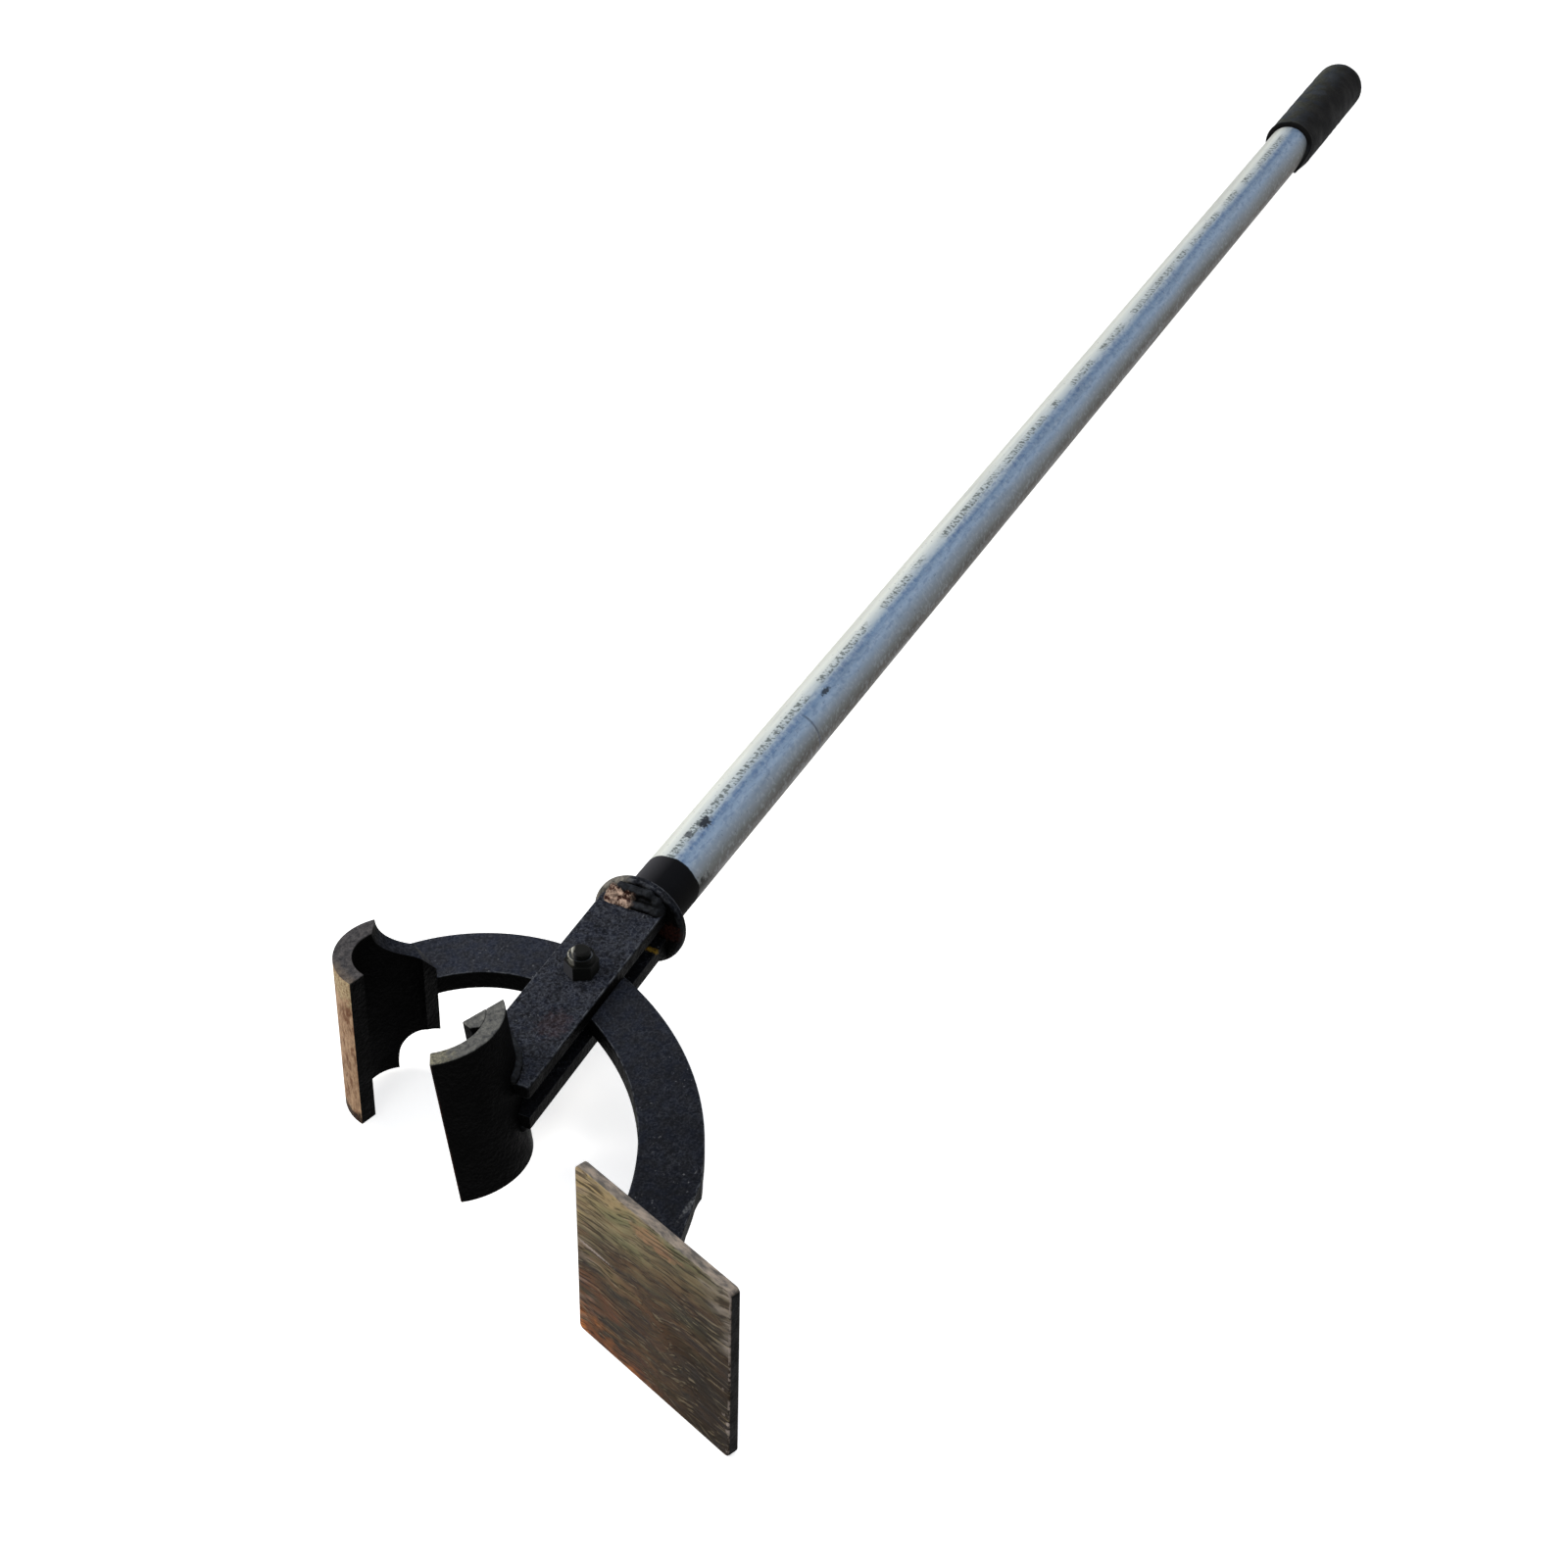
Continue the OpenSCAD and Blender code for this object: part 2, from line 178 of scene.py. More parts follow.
def enamelPaint(name, worn=(), patches=(), dustAndPaintedLight=1.0, paintedRelief=0.5, crinkle=0.35, edgeWearAndHighlight=0.6, fade=None):
    # Black alkyd enamel brushed thick on hot-rolled steel: a lumpy film, nearly black on the walls,
    # greyer and in places bluish where it faces up from dust and painted sky light, with painted shade and
    # highlights on its relief, rubbed thin along the edges and painted lighter there as a painted highlight
    look = {"wall": "#020202", "top": "#2b2d33", "blue": "#272b36", "light": "#4c4f57", "dark": "#0b0c0f",
            "speck": "#85878a", "rubbedAndHighlit": "#5b5e63", "specular": 0.015}
    material, add, shader = newMaterial(name)
    coords = add("TexCoord").node.outputs
    place, normal = coords["Object"], coords["Normal"]
    top = looking(add, normal, upwards, 0.25, 0.95)
    blotch = grain(add, place, 11, detail=4)
    lumps = grain(add, place, 2.6, detail=3, low=0.36, high=0.64)
    fine = grain(add, place, 1.3, low=0.36, high=0.64)
    speck = add("Math", grain(add, place, 1.6, detail=1, low=0.7, high=0.78),
                grain(add, place, 24, low=0.45, high=0.6))
    # wrinkles in the skin of the paint follow the level lines of a noise
    level = farFrom(add, add("TexNoise", Vector=place, Scale=1 / (4.2 * mm)), 0.5)
    wrinkle = add("Math", add("MapRange", level, 0.04, 0.0), grain(add, place, 14, low=0.38, high=0.58))
    # faces that look up turn greyer, in places bluish: dust and painted sky light
    dustAndSkyLight = add("Math", top, add("MapRange", blotch, 0, 1, 0.7 * dustAndPaintedLight, dustAndPaintedLight))
    if fade:
        along = add("VectorMath", place, fade["along"], operation="DOT_PRODUCT", out="Value")
        dustAndSkyLight = add("Math", dustAndSkyLight, add("MapRange", along, fade["start"] * mm, fade["end"] * mm,
                                       fade["low"], fade["high"]))
    upward = add("Mix", grain(add, place, 7, detail=3, low=0.42, high=0.62), look["top"], look["blue"])
    colour = add("Mix", dustAndSkyLight, look["wall"], upward)
    # painted shade in the dips of the lumps, and painted highlights on the high grain and along the wrinkles,
    # on faces that look up
    paintedShadeInDips = add("Math", add("MapRange", lumps, 0.55, 0.0), add("Math", top, 0.8 * paintedRelief))
    colour = add("Mix", paintedShadeInDips, colour, look["dark"])
    paintedHighlightOnGrain = add("Math", add("MapRange", fine, 0.5, 1.0), add("Math", dustAndSkyLight, 0.7 * paintedRelief))
    colour = add("Mix", paintedHighlightOnGrain, colour, look["light"])
    colour = add("Mix", add("Math", add("Math", wrinkle, top), crinkle), colour, look["light"])
    colour = add("Mix", add("Math", add("Math", speck, top), 0.5), colour, look["speck"])
    # the edges are rubbed thin and painted lighter as a painted highlight, most where they face up
    edge = add("Attribute", attribute_name="edge", out="Fac")
    rubbedAndHighlit = add("Math", add("Math", edge, grain(add, place, 4.5, detail=3, low=0.42, high=0.6)),
                 add("MapRange", top, 0, 1, 0.1, edgeWearAndHighlight))
    colour = add("Mix", rubbedAndHighlit, colour, look["rubbedAndHighlit"])
    rough = add("MapRange", blotch, 0, 1, 0.45, 0.62)
    metal = 0.0
    drawn = add("Mapping", place, Scale=(1, 1, 0.45))
    for area in worn:
        bare = add("Math", pastPlane(add, place, area), area["amount"])
        if "facing" in area:
            bare = add("Math", bare, looking(add, normal, area["facing"]))
        streaks = grain(add, drawn, area["grain"], detail=6, rough=0.7, low=0.34, high=0.66)
        steel = add("Mix", streaks, area["dark"], area["light"])
        if "rust" in area:
            spots = grain(add, drawn, 5, detail=4, rough=0.6, low=0.54, high=0.64)
            steel = add("Mix", add("Math", spots, 0.75), steel, area["rust"])
        colour = add("Mix", bare, colour, steel)
        metal = add("Math", metal, bare, operation="ADD")
    for patch in patches:
        inside = inPatch(add, place, patch)
        if "facing" in patch:
            inside = add("Math", inside, looking(add, normal, patch["facing"]))
        colour = add("Mix", inside, colour, add("Mix", fine, patch["dark"], patch["light"]))
    if worn:
        rough = add("MapRange", metal, 0, 1, rough, 0.6)
        fill(shader, {"Metallic": add("Math", metal, 0.15)})
    film = add("Bump", Strength=0.7, Distance=0.4 * mm, Height=lumps)
    ridges = add("Bump", Strength=crinkle, Distance=0.4 * mm, Height=wrinkle, Normal=film)
    skin = add("Bump", Strength=0.4, Distance=0.15 * mm, Height=fine, Normal=ridges)
    fill(shader, {"Base Color": colour, "Roughness": rough, "Specular IOR Level": look["specular"],
                  "Normal": skin})
    return material


def patinatedPlate(name, plate):
    # Hot-rolled steel scoured bare by soil: fine scratches that rise to the right, brown and olive patina,
    # orange rust at one corner. The pattern's own frame has X out of the face, Y across it and Z up.
    # The scratches are drawn about three times as coarse as soil leaves them, so that they show.
    look = {"soil": "#281e17", "bark": "#5c4937", "moss": "#2f3124", "ruddy": "#6a4230", "khaki": "#908869",
            "olive": "#575f43", "tan": "#a8926a", "pinkish": "#a3795c", "rust": "#8d5434",
            "orange": "#b8743f", "greyed": "#85776d", "shade": "#1c1611", "worn": "#8f857c",
            "dark": "#17110d", "light": "#9a8c72", "steep": "#8a7d66", "long": "#a59a94", "chip": "#aa9d96",
            "paint": "#030303", "litScuff": "#5b5855", "litScuffPale": "#988c80", "chippedEdge": "#8a7f78",
            "specular": 0.06}
    pinkishPatch = {"at": (0, 2, 0.86 * plate["height"] / 2), "size": (20, 17, 5), "amount": 0.65, "grain": 5}
    longScratch = {"at": (0, -41, 7), "size": (8, 14, 0.8), "amount": 0.6, "grain": 1.5}
    material, add, shader = newMaterial(name)
    coords = add("TexCoord").node.outputs
    straight = (0, 0, -math.radians(plate["faceAngle"]))
    place = add("Mapping", coords["Object"], Rotation=straight)
    facing = add("Mapping", coords["Normal"], Rotation=straight)
    front = looking(add, facing, (1, 0, 0), 0.2, 0.6)
    top = looking(add, facing, upwards, 0.3, 0.8)
    halfWidth, halfHeight = plate["width"] / 2 * mm, plate["height"] / 2 * mm
    drift = add("TexNoise", Vector=place, Scale=1 / (45 * mm), Detail=1.0, out="Color")
    drift = add("VectorMath", drift, (0.5, 0.5, 0.5), operation="SUBTRACT")
    drift = add("VectorMath", drift, Scale=14 * mm, operation="SCALE")
    swept = add("VectorMath", place, drift)

    def strokes(rise, squeeze):
        # coordinates in which a noise draws strokes that rise by so many degrees towards +Y
        turned = add("Mapping", swept, Rotation=(-math.radians(rise), 0, 0))
        return add("Mapping", turned, Scale=(1, squeeze, 1))

    def zone(rightward, upward, start, end):
        # grows from start to end along a direction on the face, whose edges are at -1 and 1
        along = add("VectorMath", place, (0, rightward / halfWidth, upward / halfHeight),
                    operation="DOT_PRODUCT", out="Value")
        uneven = grain(add, strokes(9, 0.3), 15, detail=5, rough=0.6, low=0.3, high=0.7)
        return add("MapRange", unsettle(add, along, uneven, 0.4), start, end)

    wide = grain(add, strokes(8, 0.2), 8, detail=6, rough=0.65, low=0.38, high=0.62)
    fibres = grain(add, strokes(9, 0.07), 2.2, detail=4, rough=0.6, low=0.38, high=0.62)
    mixed = grain(add, strokes(14, 0.35), 13, detail=5, rough=0.6, low=0.46, high=0.58)
    ruddy = add("Math", grain(add, strokes(6, 0.25), 11, detail=4, low=0.46, high=0.58),
                zone(-1.0, -0.2, -0.4, 0.6))
    # khaki and tan along the top, most at the upper left, with a ruddy patch on the way
    khaki = add("Math", zone(-0.35, 1.0, 0.1, 0.95), add("MapRange", fibres, 0, 1, 0.55, 1.0))
    olive = add("Math", khaki, grain(add, strokes(10, 0.25), 13, detail=4, low=0.46, high=0.58))
    tan = add("Math", zone(-0.95, 1.05, 1.1, 1.75), add("MapRange", fibres, 0, 1, 0.35, 1.0))
    pinkish = add("Math", inPatch(add, place, pinkishPatch), add("MapRange", fibres, 0, 1, 0.6, 1.0))
    # orange rust along the bottom, from the lower left corner to the middle
    rust = add("Math", zone(-0.25, -1.0, 0.8, 1.25), zone(-1.0, -0.1, -0.35, 0.35))
    bright = add("Math", grain(add, place, 12, detail=4, low=0.5, high=0.62), rust)
    greyed = add("Math", zone(-1.0, 0.1, 0.65, 1.1), grain(add, strokes(16, 0.15), 5, low=0.45, high=0.6))
    worn = add("Math", zone(1.0, 0.7, 1.15, 1.5), add("MapRange", fibres, 0, 1, 0.25, 0.8))
    # dark and light scratches
    dark = grain(add, strokes(9, 0.06), 1.4, detail=3, low=0.5, high=0.6)
    light = grain(add, strokes(11, 0.045), 1.4, detail=3, low=0.58, high=0.7)
    steep = add("Math", grain(add, strokes(-24, 0.06), 1.5, detail=3, low=0.6, high=0.72),
                grain(add, place, 22, low=0.45, high=0.6))
    chips = add("Math", grain(add, place, 3.4, detail=3, low=0.54, high=0.6), zone(1.6, -0.3, 1.65, 1.85))
    colour = add("Mix", wide, look["soil"], look["bark"])
    for amount, tone in (
            (add("Math", mixed, 0.6), "moss"),
            (add("Math", ruddy, 0.6), "ruddy"),
            (add("Math", khaki, add("MapRange", wide, 0, 1, 0.5, 1.0)), "khaki"),
            (add("Math", olive, 0.7), "olive"),
            (tan, "tan"),
            (pinkish, "pinkish"),
            (add("Math", rust, add("MapRange", fibres, 0, 1, 0.35, 0.9)), "rust"),
            (add("Math", bright, 0.7), "orange"),
            (add("Math", greyed, 0.55), "greyed"),
            (add("Math", zone(0.9, -0.45, 0.1, 0.9), 0.85), "shade"),
            (worn, "worn"),
            (add("Math", dark, 0.75), "dark"),
            (add("Math", light, add("MapRange", khaki, 0, 1, 0.38, 0.75)), "light"),
            (add("Math", steep, 0.4), "steep"),
            (inPatch(add, place, longScratch), "long"),
            (add("Math", chips, 0.65), "chip")):
        colour = add("Mix", amount, colour, look[tone])
    # the edges and the back keep their paint, scuffed to grey and brown along the top, where it is also
    # painted lighter as painted sky light
    scuffedAndSkyLit = add("Mix", grain(add, strokes(0, 0.3), 3, detail=5, rough=0.6, low=0.4, high=0.6),
                  look["litScuff"], look["litScuffPale"])
    colour = add("Mix", front, add("Mix", top, look["paint"], scuffedAndSkyLit), colour)
    edge = add("Attribute", attribute_name="edge", out="Fac")
    across = add("SeparateXYZ", place, out=1)
    rightSide = add("MapRange", across, 0.9 * halfWidth, 0.97 * halfWidth, 0.3, 0.85)
    chipped = add("Math", add("Math", edge, rightSide), grain(add, place, 3, detail=4, low=0.44, high=0.56))
    chipped = add("Math", chipped, add("MapRange", front, 0, 1, 0.15, 1.0))
    colour = add("Mix", add("Math", chipped, 0.8), colour, look["chippedEdge"])
    heights = add("Math", add("Math", wide, 0.5), add("Math", fibres, 0.5), operation="ADD", use_clamp=False)
    heights = add("Math", heights, add("Math", dark, 0.5), operation="SUBTRACT")
    fill(shader, {"Base Color": colour, "Roughness": add("MapRange", wide, 0, 1, 0.55, 0.75),
                  "Metallic": add("Math", front, 0.1), "Specular IOR Level": look["specular"],
                  "Normal": add("Bump", Strength=0.7, Distance=0.3 * mm, Height=heights)})
    return material


def weldMetal(name, bare=()):
    # Stick-welded mild steel bead, painted over, greyer where it faces up as painted sky light. Where the
    # paint missed it,
    # past every plane in bare, it shows scaly: pale spatter and painted highlights over dark red-brown rust.
    look = {"wall": "#030303", "top": "#33363b", "rust": "#35201a", "spatterAndHighlight": "#d0b5a2", "pit": "#1a0d0a",
            "specular": 0.03}
    material, add, shader = newMaterial(name)
    coords = add("TexCoord").node.outputs
    place = coords["Object"]
    top = looking(add, coords["Normal"], upwards, 0.2, 0.9)
    scale = grain(add, place, 2.6, detail=3, low=0.4, high=0.6)
    colour = add("Mix", add("Math", top, add("MapRange", scale, 0, 1, 0.25, 0.7)), look["wall"], look["top"])
    if bare:
        showing = 1.0
        for area in bare:
            showing = add("Math", showing, pastPlane(add, place, area))
        spatterAndHighlight = grain(add, place, 4.2, detail=5, rough=0.7, low=0.44, high=0.6)
        pits = grain(add, place, 5.0, detail=5, rough=0.65, low=0.52, high=0.6)
        rust = add("Mix", spatterAndHighlight, look["rust"], look["spatterAndHighlight"])
        rust = add("Mix", add("Math", pits, 0.55), rust, look["pit"])
        colour = add("Mix", showing, colour, rust)
    fill(shader, {"Base Color": colour, "Roughness": add("MapRange", scale, 0, 1, 0.45, 0.7),
                  "Specular IOR Level": look["specular"],
                  "Normal": add("Bump", Strength=0.5, Distance=0.3 * mm, Height=scale)})
    return material


def zincPlating(name, showing=()):
    # Bright zinc plated fastener steel: smooth and silvery, with dark grime left in patches.
    # Given two planes, the plating shows only past both of them and black paint covers the rest.
    look = {"zinc": "#adaca1", "grime": "#3f3c30", "black": "#060706", "litBlack": "#35363a",
            "specular": 0.08}
    material, add, shader = newMaterial(name)
    coords = add("TexCoord").node.outputs
    place = coords["Object"]
    grime = grain(add, place, 3.5, detail=4, low=0.46, high=0.66)
    colour = add("Mix", grime, look["zinc"], look["grime"])
    metal = add("MapRange", grime, 0, 1, 1.0, 0.4)
    rough = add("MapRange", grime, 0, 1, 0.26, 0.6)
    # with the planes, the bright plating on the sunny side is partly a painted highlight, and the black is
    # painted lighter on faces that look that way
    if showing:
        side, above = showing
        clean = add("Math", pastPlane(add, place, side), pastPlane(add, place, above))
        lit = looking(add, coords["Normal"], side["along"], 0.3, 0.75)
        colour = add("Mix", clean, add("Mix", lit, look["black"], look["litBlack"]), colour)
        metal = add("Math", metal, clean)
        rough = add("MapRange", clean, 0, 1, 0.55, rough)
        fill(shader, {"Specular IOR Level": look["specular"]})
    bump = add("Bump", Strength=0.2, Distance=0.05 * mm, Height=grain(add, place, 0.7))
    fill(shader, {"Base Color": colour, "Roughness": rough, "Metallic": metal, "Normal": bump})
    return material


def ringNylon(name):
    # Moulded nylon insert ring: dull, slightly waxy, darkened by oil and paint
    look = {"dark": "#14181d", "light": "#27313d"}
    material, add, shader = newMaterial(name)
    cloud = grain(add, add("TexCoord", out="Object"), 2.5, detail=3)
    fill(shader, {"Base Color": add("Mix", cloud, look["dark"], look["light"]),
                  "Roughness": add("MapRange", cloud, 0, 1, 0.45, 0.6)})
    return material


def galvanisedPipe(name, pipe):
    # Hot-dip galvanised steel tube: dull silver zinc, with a painted highlight on its sunny side, a painted
    # blue sky reflection along the top and painted shade, grey-brown, low down; dark smudges in rows, and
    # black paint brushed over its foot.
    # The map's U runs along the pipe and V round it from the underside, both in metres.
    look = {"dull": "#56616d", "bright": "#c9d2da", "brushed": "#3f587f", "speck": "#3f4a5c",
            "mark": "#2b3038", "ring": "#3d4656", "paint": "#0d0e11", "sunnyPaint": "#434347",
            "shadyPaint": "#040404", "overrun": "#0c0d08", "specular": 0.05}
    material, add, shader = newMaterial(name)
    place = add("TexCoord", out="Object")
    mapped = add("UVMap", uv_map="around")
    around = add("SeparateXYZ", mapped).node.outputs
    along = around[0]
    turn = add("Math", around[1], pipe["girth"], operation="DIVIDE", use_clamp=False)
    drawn = add("Mapping", mapped, Scale=(0.12, 1, 1))
    soft = grain(add, drawn, 7, detail=4, low=0.3, high=0.7)
    spangle = grain(add, place, 2.6, detail=3)
    # the borders between the painted light bands wander a little
    wander = add("TexNoise", Vector=drawn, Scale=1 / (18 * mm), Detail=3.0)
    bands = add("ValToRGB", unsettle(add, turn, wander, 0.035))
    stops = bands.node.color_ramp.elements
    for stop, (position, hexColour) in zip(stops, (pipe["bands"][0], pipe["bands"][-1])):
        stop.position, stop.color = position, toLinear(hexColour)
    for position, hexColour in pipe["bands"][1:-1]:
        stops.new(position).color = toLinear(hexColour)
    colour = add("Mix", add("Math", add("MapRange", soft, 0.45, 0.0), 0.2), bands, look["dull"])
    colour = add("Mix", add("Math", add("MapRange", spangle, 0.55, 1.0), 0.14), colour, look["bright"])
    # darker blue streaks within the painted sky reflection
    paintedSkyStreak = add("Math", add("MapRange", turn, 0.36, 0.4), add("MapRange", turn, 0.5, 0.48))
    brushed = add("Mapping", mapped, Scale=(0.35, 1, 1))
    marks = grain(add, brushed, 2.6, detail=4, rough=0.6, low=0.5, high=0.62)
    colour = add("Mix", add("Math", add("Math", marks, paintedSkyStreak), 0.35), colour, look["brushed"])
    # smudges only in narrow rows along the pipe
    upright = add("Mapping", mapped, Scale=(1, 0.6, 1))
    clusters = grain(add, mapped, 30, detail=1, low=0.42, high=0.48)
    for row in pipe["rows"]:
        inRow = add("MapRange", farFrom(add, turn, row["turn"]), row["halfTurn"], row["halfTurn"] * 0.75)
        blots = grain(add, upright, row["size"], detail=3, rough=0.6, low=0.47, high=0.56)
        smudge = add("Math", add("Math", inRow, blots), clusters)
        colour = add("Mix", add("Math", smudge, row["amount"]), colour, row["hex"])
    speck = grain(add, place, 1.7, detail=1, low=0.7, high=0.74)
    colour = add("Mix", add("Math", speck, 0.45), colour, look["speck"])
    for mark in pipe["marks"]:
        colour = add("Mix", inPatch(add, place, mark), colour, look["mark"])
    ring = add("MapRange", farFrom(add, along, pipe["ringAt"] * mm), 1.2 * mm, 0.6 * mm)
    ring = add("Math", ring, add("MapRange", turn, 0.47, 0.43))
    colour = add("Mix", add("Math", ring, 0.6), colour, look["ring"])
    # the painted foot ends on a brushed, uneven line; it is painted lighter on the sunny side as a painted
    # highlight and darker on the shaded side as painted shade
    ragged = add("TexNoise", Vector=place, Scale=1 / (10 * mm), Detail=4.0)
    reach = unsettle(add, along, ragged, 2 * mm)
    paint = add("MapRange", reach, pipe["paintEnd"] + 0.4 * mm, pipe["paintEnd"] - 0.4 * mm)
    black = add("Mix", add("MapRange", turn, 0.47, 0.63), look["paint"], look["sunnyPaint"])
    black = add("Mix", add("MapRange", turn, 0.4, 0.3), black, look["shadyPaint"])
    for mark in pipe["overruns"]:
        colour = add("Mix", inPatch(add, place, mark), colour, look["overrun"])
    fill(shader, {"Base Color": add("Mix", paint, colour, black),
                  "Roughness": add("MapRange", paint, 0, 1, add("MapRange", soft, 0, 1, 0.36, 0.54), 0.85),
                  "Metallic": add("MapRange", paint, 0, 1, pipe["metallic"], 0.0),
                  "Specular IOR Level": look["specular"],
                  "Normal": add("Bump", Strength=0.3, Distance=0.15 * mm, Height=spangle)})
    return material


def mouldedRubber(name):
    # Dip-moulded black rubber, scuffed matt: greyer and in places bluish on its sunny side, most on the
    # pebbles, as painted light.
    # Its pebbled skin is drawn coarser than the real one, at 2.2 mm, so that it shows.
    look = {"dark": "#080808", "light": "#121213", "dustAndPaintedLight": "#484a43", "skyLitBluish": "#2d3440", "mouth": "#040404",
            "sunny": (0, 0.75, 0.66), "specular": 0.08}
    material, add, shader = newMaterial(name)
    coords = add("TexCoord").node.outputs
    place, normal = coords["Object"], coords["Normal"]
    lit = looking(add, normal, look["sunny"], 0.1, 1.0)
    pebble = grain(add, place, 2.2, detail=3, low=0.36, high=0.64)
    patch = grain(add, place, 14, detail=4)
    colour = add("Mix", patch, look["dark"], look["light"])
    # painted light: the sunny side is greyer, most on the tops of the pebbles, and bluish in patches
    dustAndPaintedLight = add("Math", add("Math", lit, lit), add("MapRange", pebble, 0, 1, 0.5, 1.0))
    colour = add("Mix", dustAndPaintedLight, colour, look["dustAndPaintedLight"])
    skyLitBluish = add("Math", grain(add, place, 9, detail=3, low=0.45, high=0.6), add("Math", lit, 0.7))
    colour = add("Mix", skyLitBluish, colour, look["skyLitBluish"])
    # the mouth's own face lies in the shade
    mouth = looking(add, normal, (-1, 0, 0), 0.35, 0.8)
    colour = add("Mix", add("Math", mouth, 0.9), colour, look["mouth"])
    fill(shader, {"Base Color": colour, "Roughness": add("MapRange", patch, 0, 1, 0.7, 0.9),
                  "Specular IOR Level": look["specular"],
                  "Normal": add("Bump", Strength=0.5, Distance=0.3 * mm, Height=pebble)})
    return material


# Making and finishing pieces, sizes in millimetres and angles in degrees
finish = {"merge": 0.004, "axisMerge": 0.01, "flat": 0.5, "smoothUnder": 40}


def takeSolid(node):
    # a merged copy of a node's loose triangles, flat faces joined
    bm = bmesh.new()
    bm.from_mesh(frame["nodes"][node].data)
    bmesh.ops.remove_doubles(bm, verts=bm.verts, dist=finish["merge"] * mm)
    bmesh.ops.dissolve_degenerate(bm, dist=finish["merge"] * mm, edges=bm.edges)
    bmesh.ops.dissolve_limit(bm, angle_limit=math.radians(finish["flat"]), verts=bm.verts, edges=bm.edges,
                             use_dissolve_boundaries=False, delimit={"NORMAL"})
    return bm


def roundEdges(bm, width, segments=3, sharper=28):
    # bevels every edge sharper than the angle, marks the new faces for rubbed paint with a painted highlight
    # and drops empty ones
    edgeLayer = bm.faces.layers.float.get("edge") or bm.faces.layers.float.new("edge")
    sharp = [e for e in bm.edges if len(e.link_faces) == 2 and e.calc_face_angle() > math.radians(sharper)]
    result = bmesh.ops.bevel(bm, geom=sharp, offset=width * mm, offset_type="OFFSET", affect="EDGES",
                             segments=segments, profile=0.5, material=-1, clamp_overlap=True)
    for face in result["faces"]:
        face[edgeLayer] = 1.0
    bmesh.ops.dissolve_degenerate(bm, dist=finish["merge"] * mm, edges=bm.edges)


def makePiece(bm, name, body, node, material):
    for face in bm.faces:
        face.smooth = True
    for edge in bm.edges:
        if len(edge.link_faces) == 2 and edge.calc_face_angle() > math.radians(finish["smoothUnder"]):
            edge.smooth = False
    piece = placeObject(name, toMesh(bm, name))
    piece.data.materials.append(material)
    shading = piece.modifiers.new("shading", "WEIGHTED_NORMAL")
    shading.keep_sharp = True
    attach(piece, body)
    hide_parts(node)


def dressSolid(node, name, body, slotName, material, edge, **bevel):
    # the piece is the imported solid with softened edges
    bm = takeSolid(node)
    roundEdges(bm, edge, **bevel)
    makePiece(bm, name, body, node, material)


def turnedBody(axis, outline, segments):
    # turns a closed outline of (x, radius) points a full circle round a line along X, bar the edge on it
    bm = bmesh.new()
    corners = [bm.verts.new(axis + Vector((x, 0, -r))) for x, r in outline]
    radii = [r for x, r in outline]
    pairs = zip(corners, corners[1:] + corners[:1], radii, radii[1:] + radii[:1])
    edges = [bm.edges.new((start, end)) for start, end, r1, r2 in pairs if r1 or r2]
    bmesh.ops.spin(bm, geom=corners + edges, cent=axis, axis=(1, 0, 0), angle=2 * math.pi, steps=segments,
                   use_merge=True)
    bmesh.ops.remove_doubles(bm, verts=bm.verts, dist=finish["axisMerge"] * mm)
    bmesh.ops.recalc_face_normals(bm, faces=bm.faces)
    return bm


# Frame plate, flame-cut from thick plate, with edges softened by the paint and a bur where the cut began
framePlate = {"edge": 0.8, "arcCentre": Vector((14.928, 205.132, 0)) * mm, "outer": 200.35 * mm,
              # directions round the long arc, and how far its outer wall is pushed there, in millimetres
              "bur": ((-83, 0), (-79, -1.2), (-72.3, -1.1), (-71.4, 1.3), (-70.2, 0.5), (-68, 0)),
              # tolerances for a cut and the wall in millimetres, and for an angle in degrees
              "cut": 0.001, "onWall": 0.3, "slack": 0.01, "topShare": 0.6,
              "fade": {"along": (0, 1, 0), "start": 30, "end": 190, "low": 0.42, "high": 1.0},
              "scrape": {"at": (64, 13, 5.5), "size": (13, 1.2, 2), "amount": 0.35, "dark": "#3a3c40",
                         "light": "#8a8c8e"}}
framePaint = enamelPaint("brushedEnamelFrame", patches=[framePlate["scrape"]], dustAndPaintedLight=1.3, paintedRelief=0.45,
                         crinkle=0.3, fade=framePlate["fade"])
bm = takeSolid("frame_plate")
for degrees, push in framePlate["bur"]:
    bmesh.ops.bisect_plane(bm, geom=bm.verts[:] + bm.edges[:] + bm.faces[:], dist=framePlate["cut"] * mm,
                           plane_co=framePlate["arcCentre"], plane_no=flatPoint(Vector(), degrees + 90, 1))
for v in bm.verts:
    spot = Vector((v.co.x, v.co.y, 0)) - framePlate["arcCentre"]
    degrees = math.degrees(math.atan2(spot.y, spot.x))
    if abs(spot.length - framePlate["outer"]) < framePlate["onWall"] * mm:
        for (fromDeg, fromPush), (toDeg, toPush) in zip(framePlate["bur"], framePlate["bur"][1:]):
            if fromDeg <= degrees + framePlate["slack"] < toDeg:
                push = fromPush + (toPush - fromPush) * (degrees - fromDeg) / (toDeg - fromDeg)
                v.co += spot.normalized() * push * mm * (1.0 if v.co.z < 0 else framePlate["topShare"])
roundEdges(bm, framePlate["edge"])
makePiece(bm, "framePlate", "frame", "frame_plate", framePaint)
print("frame plate made")

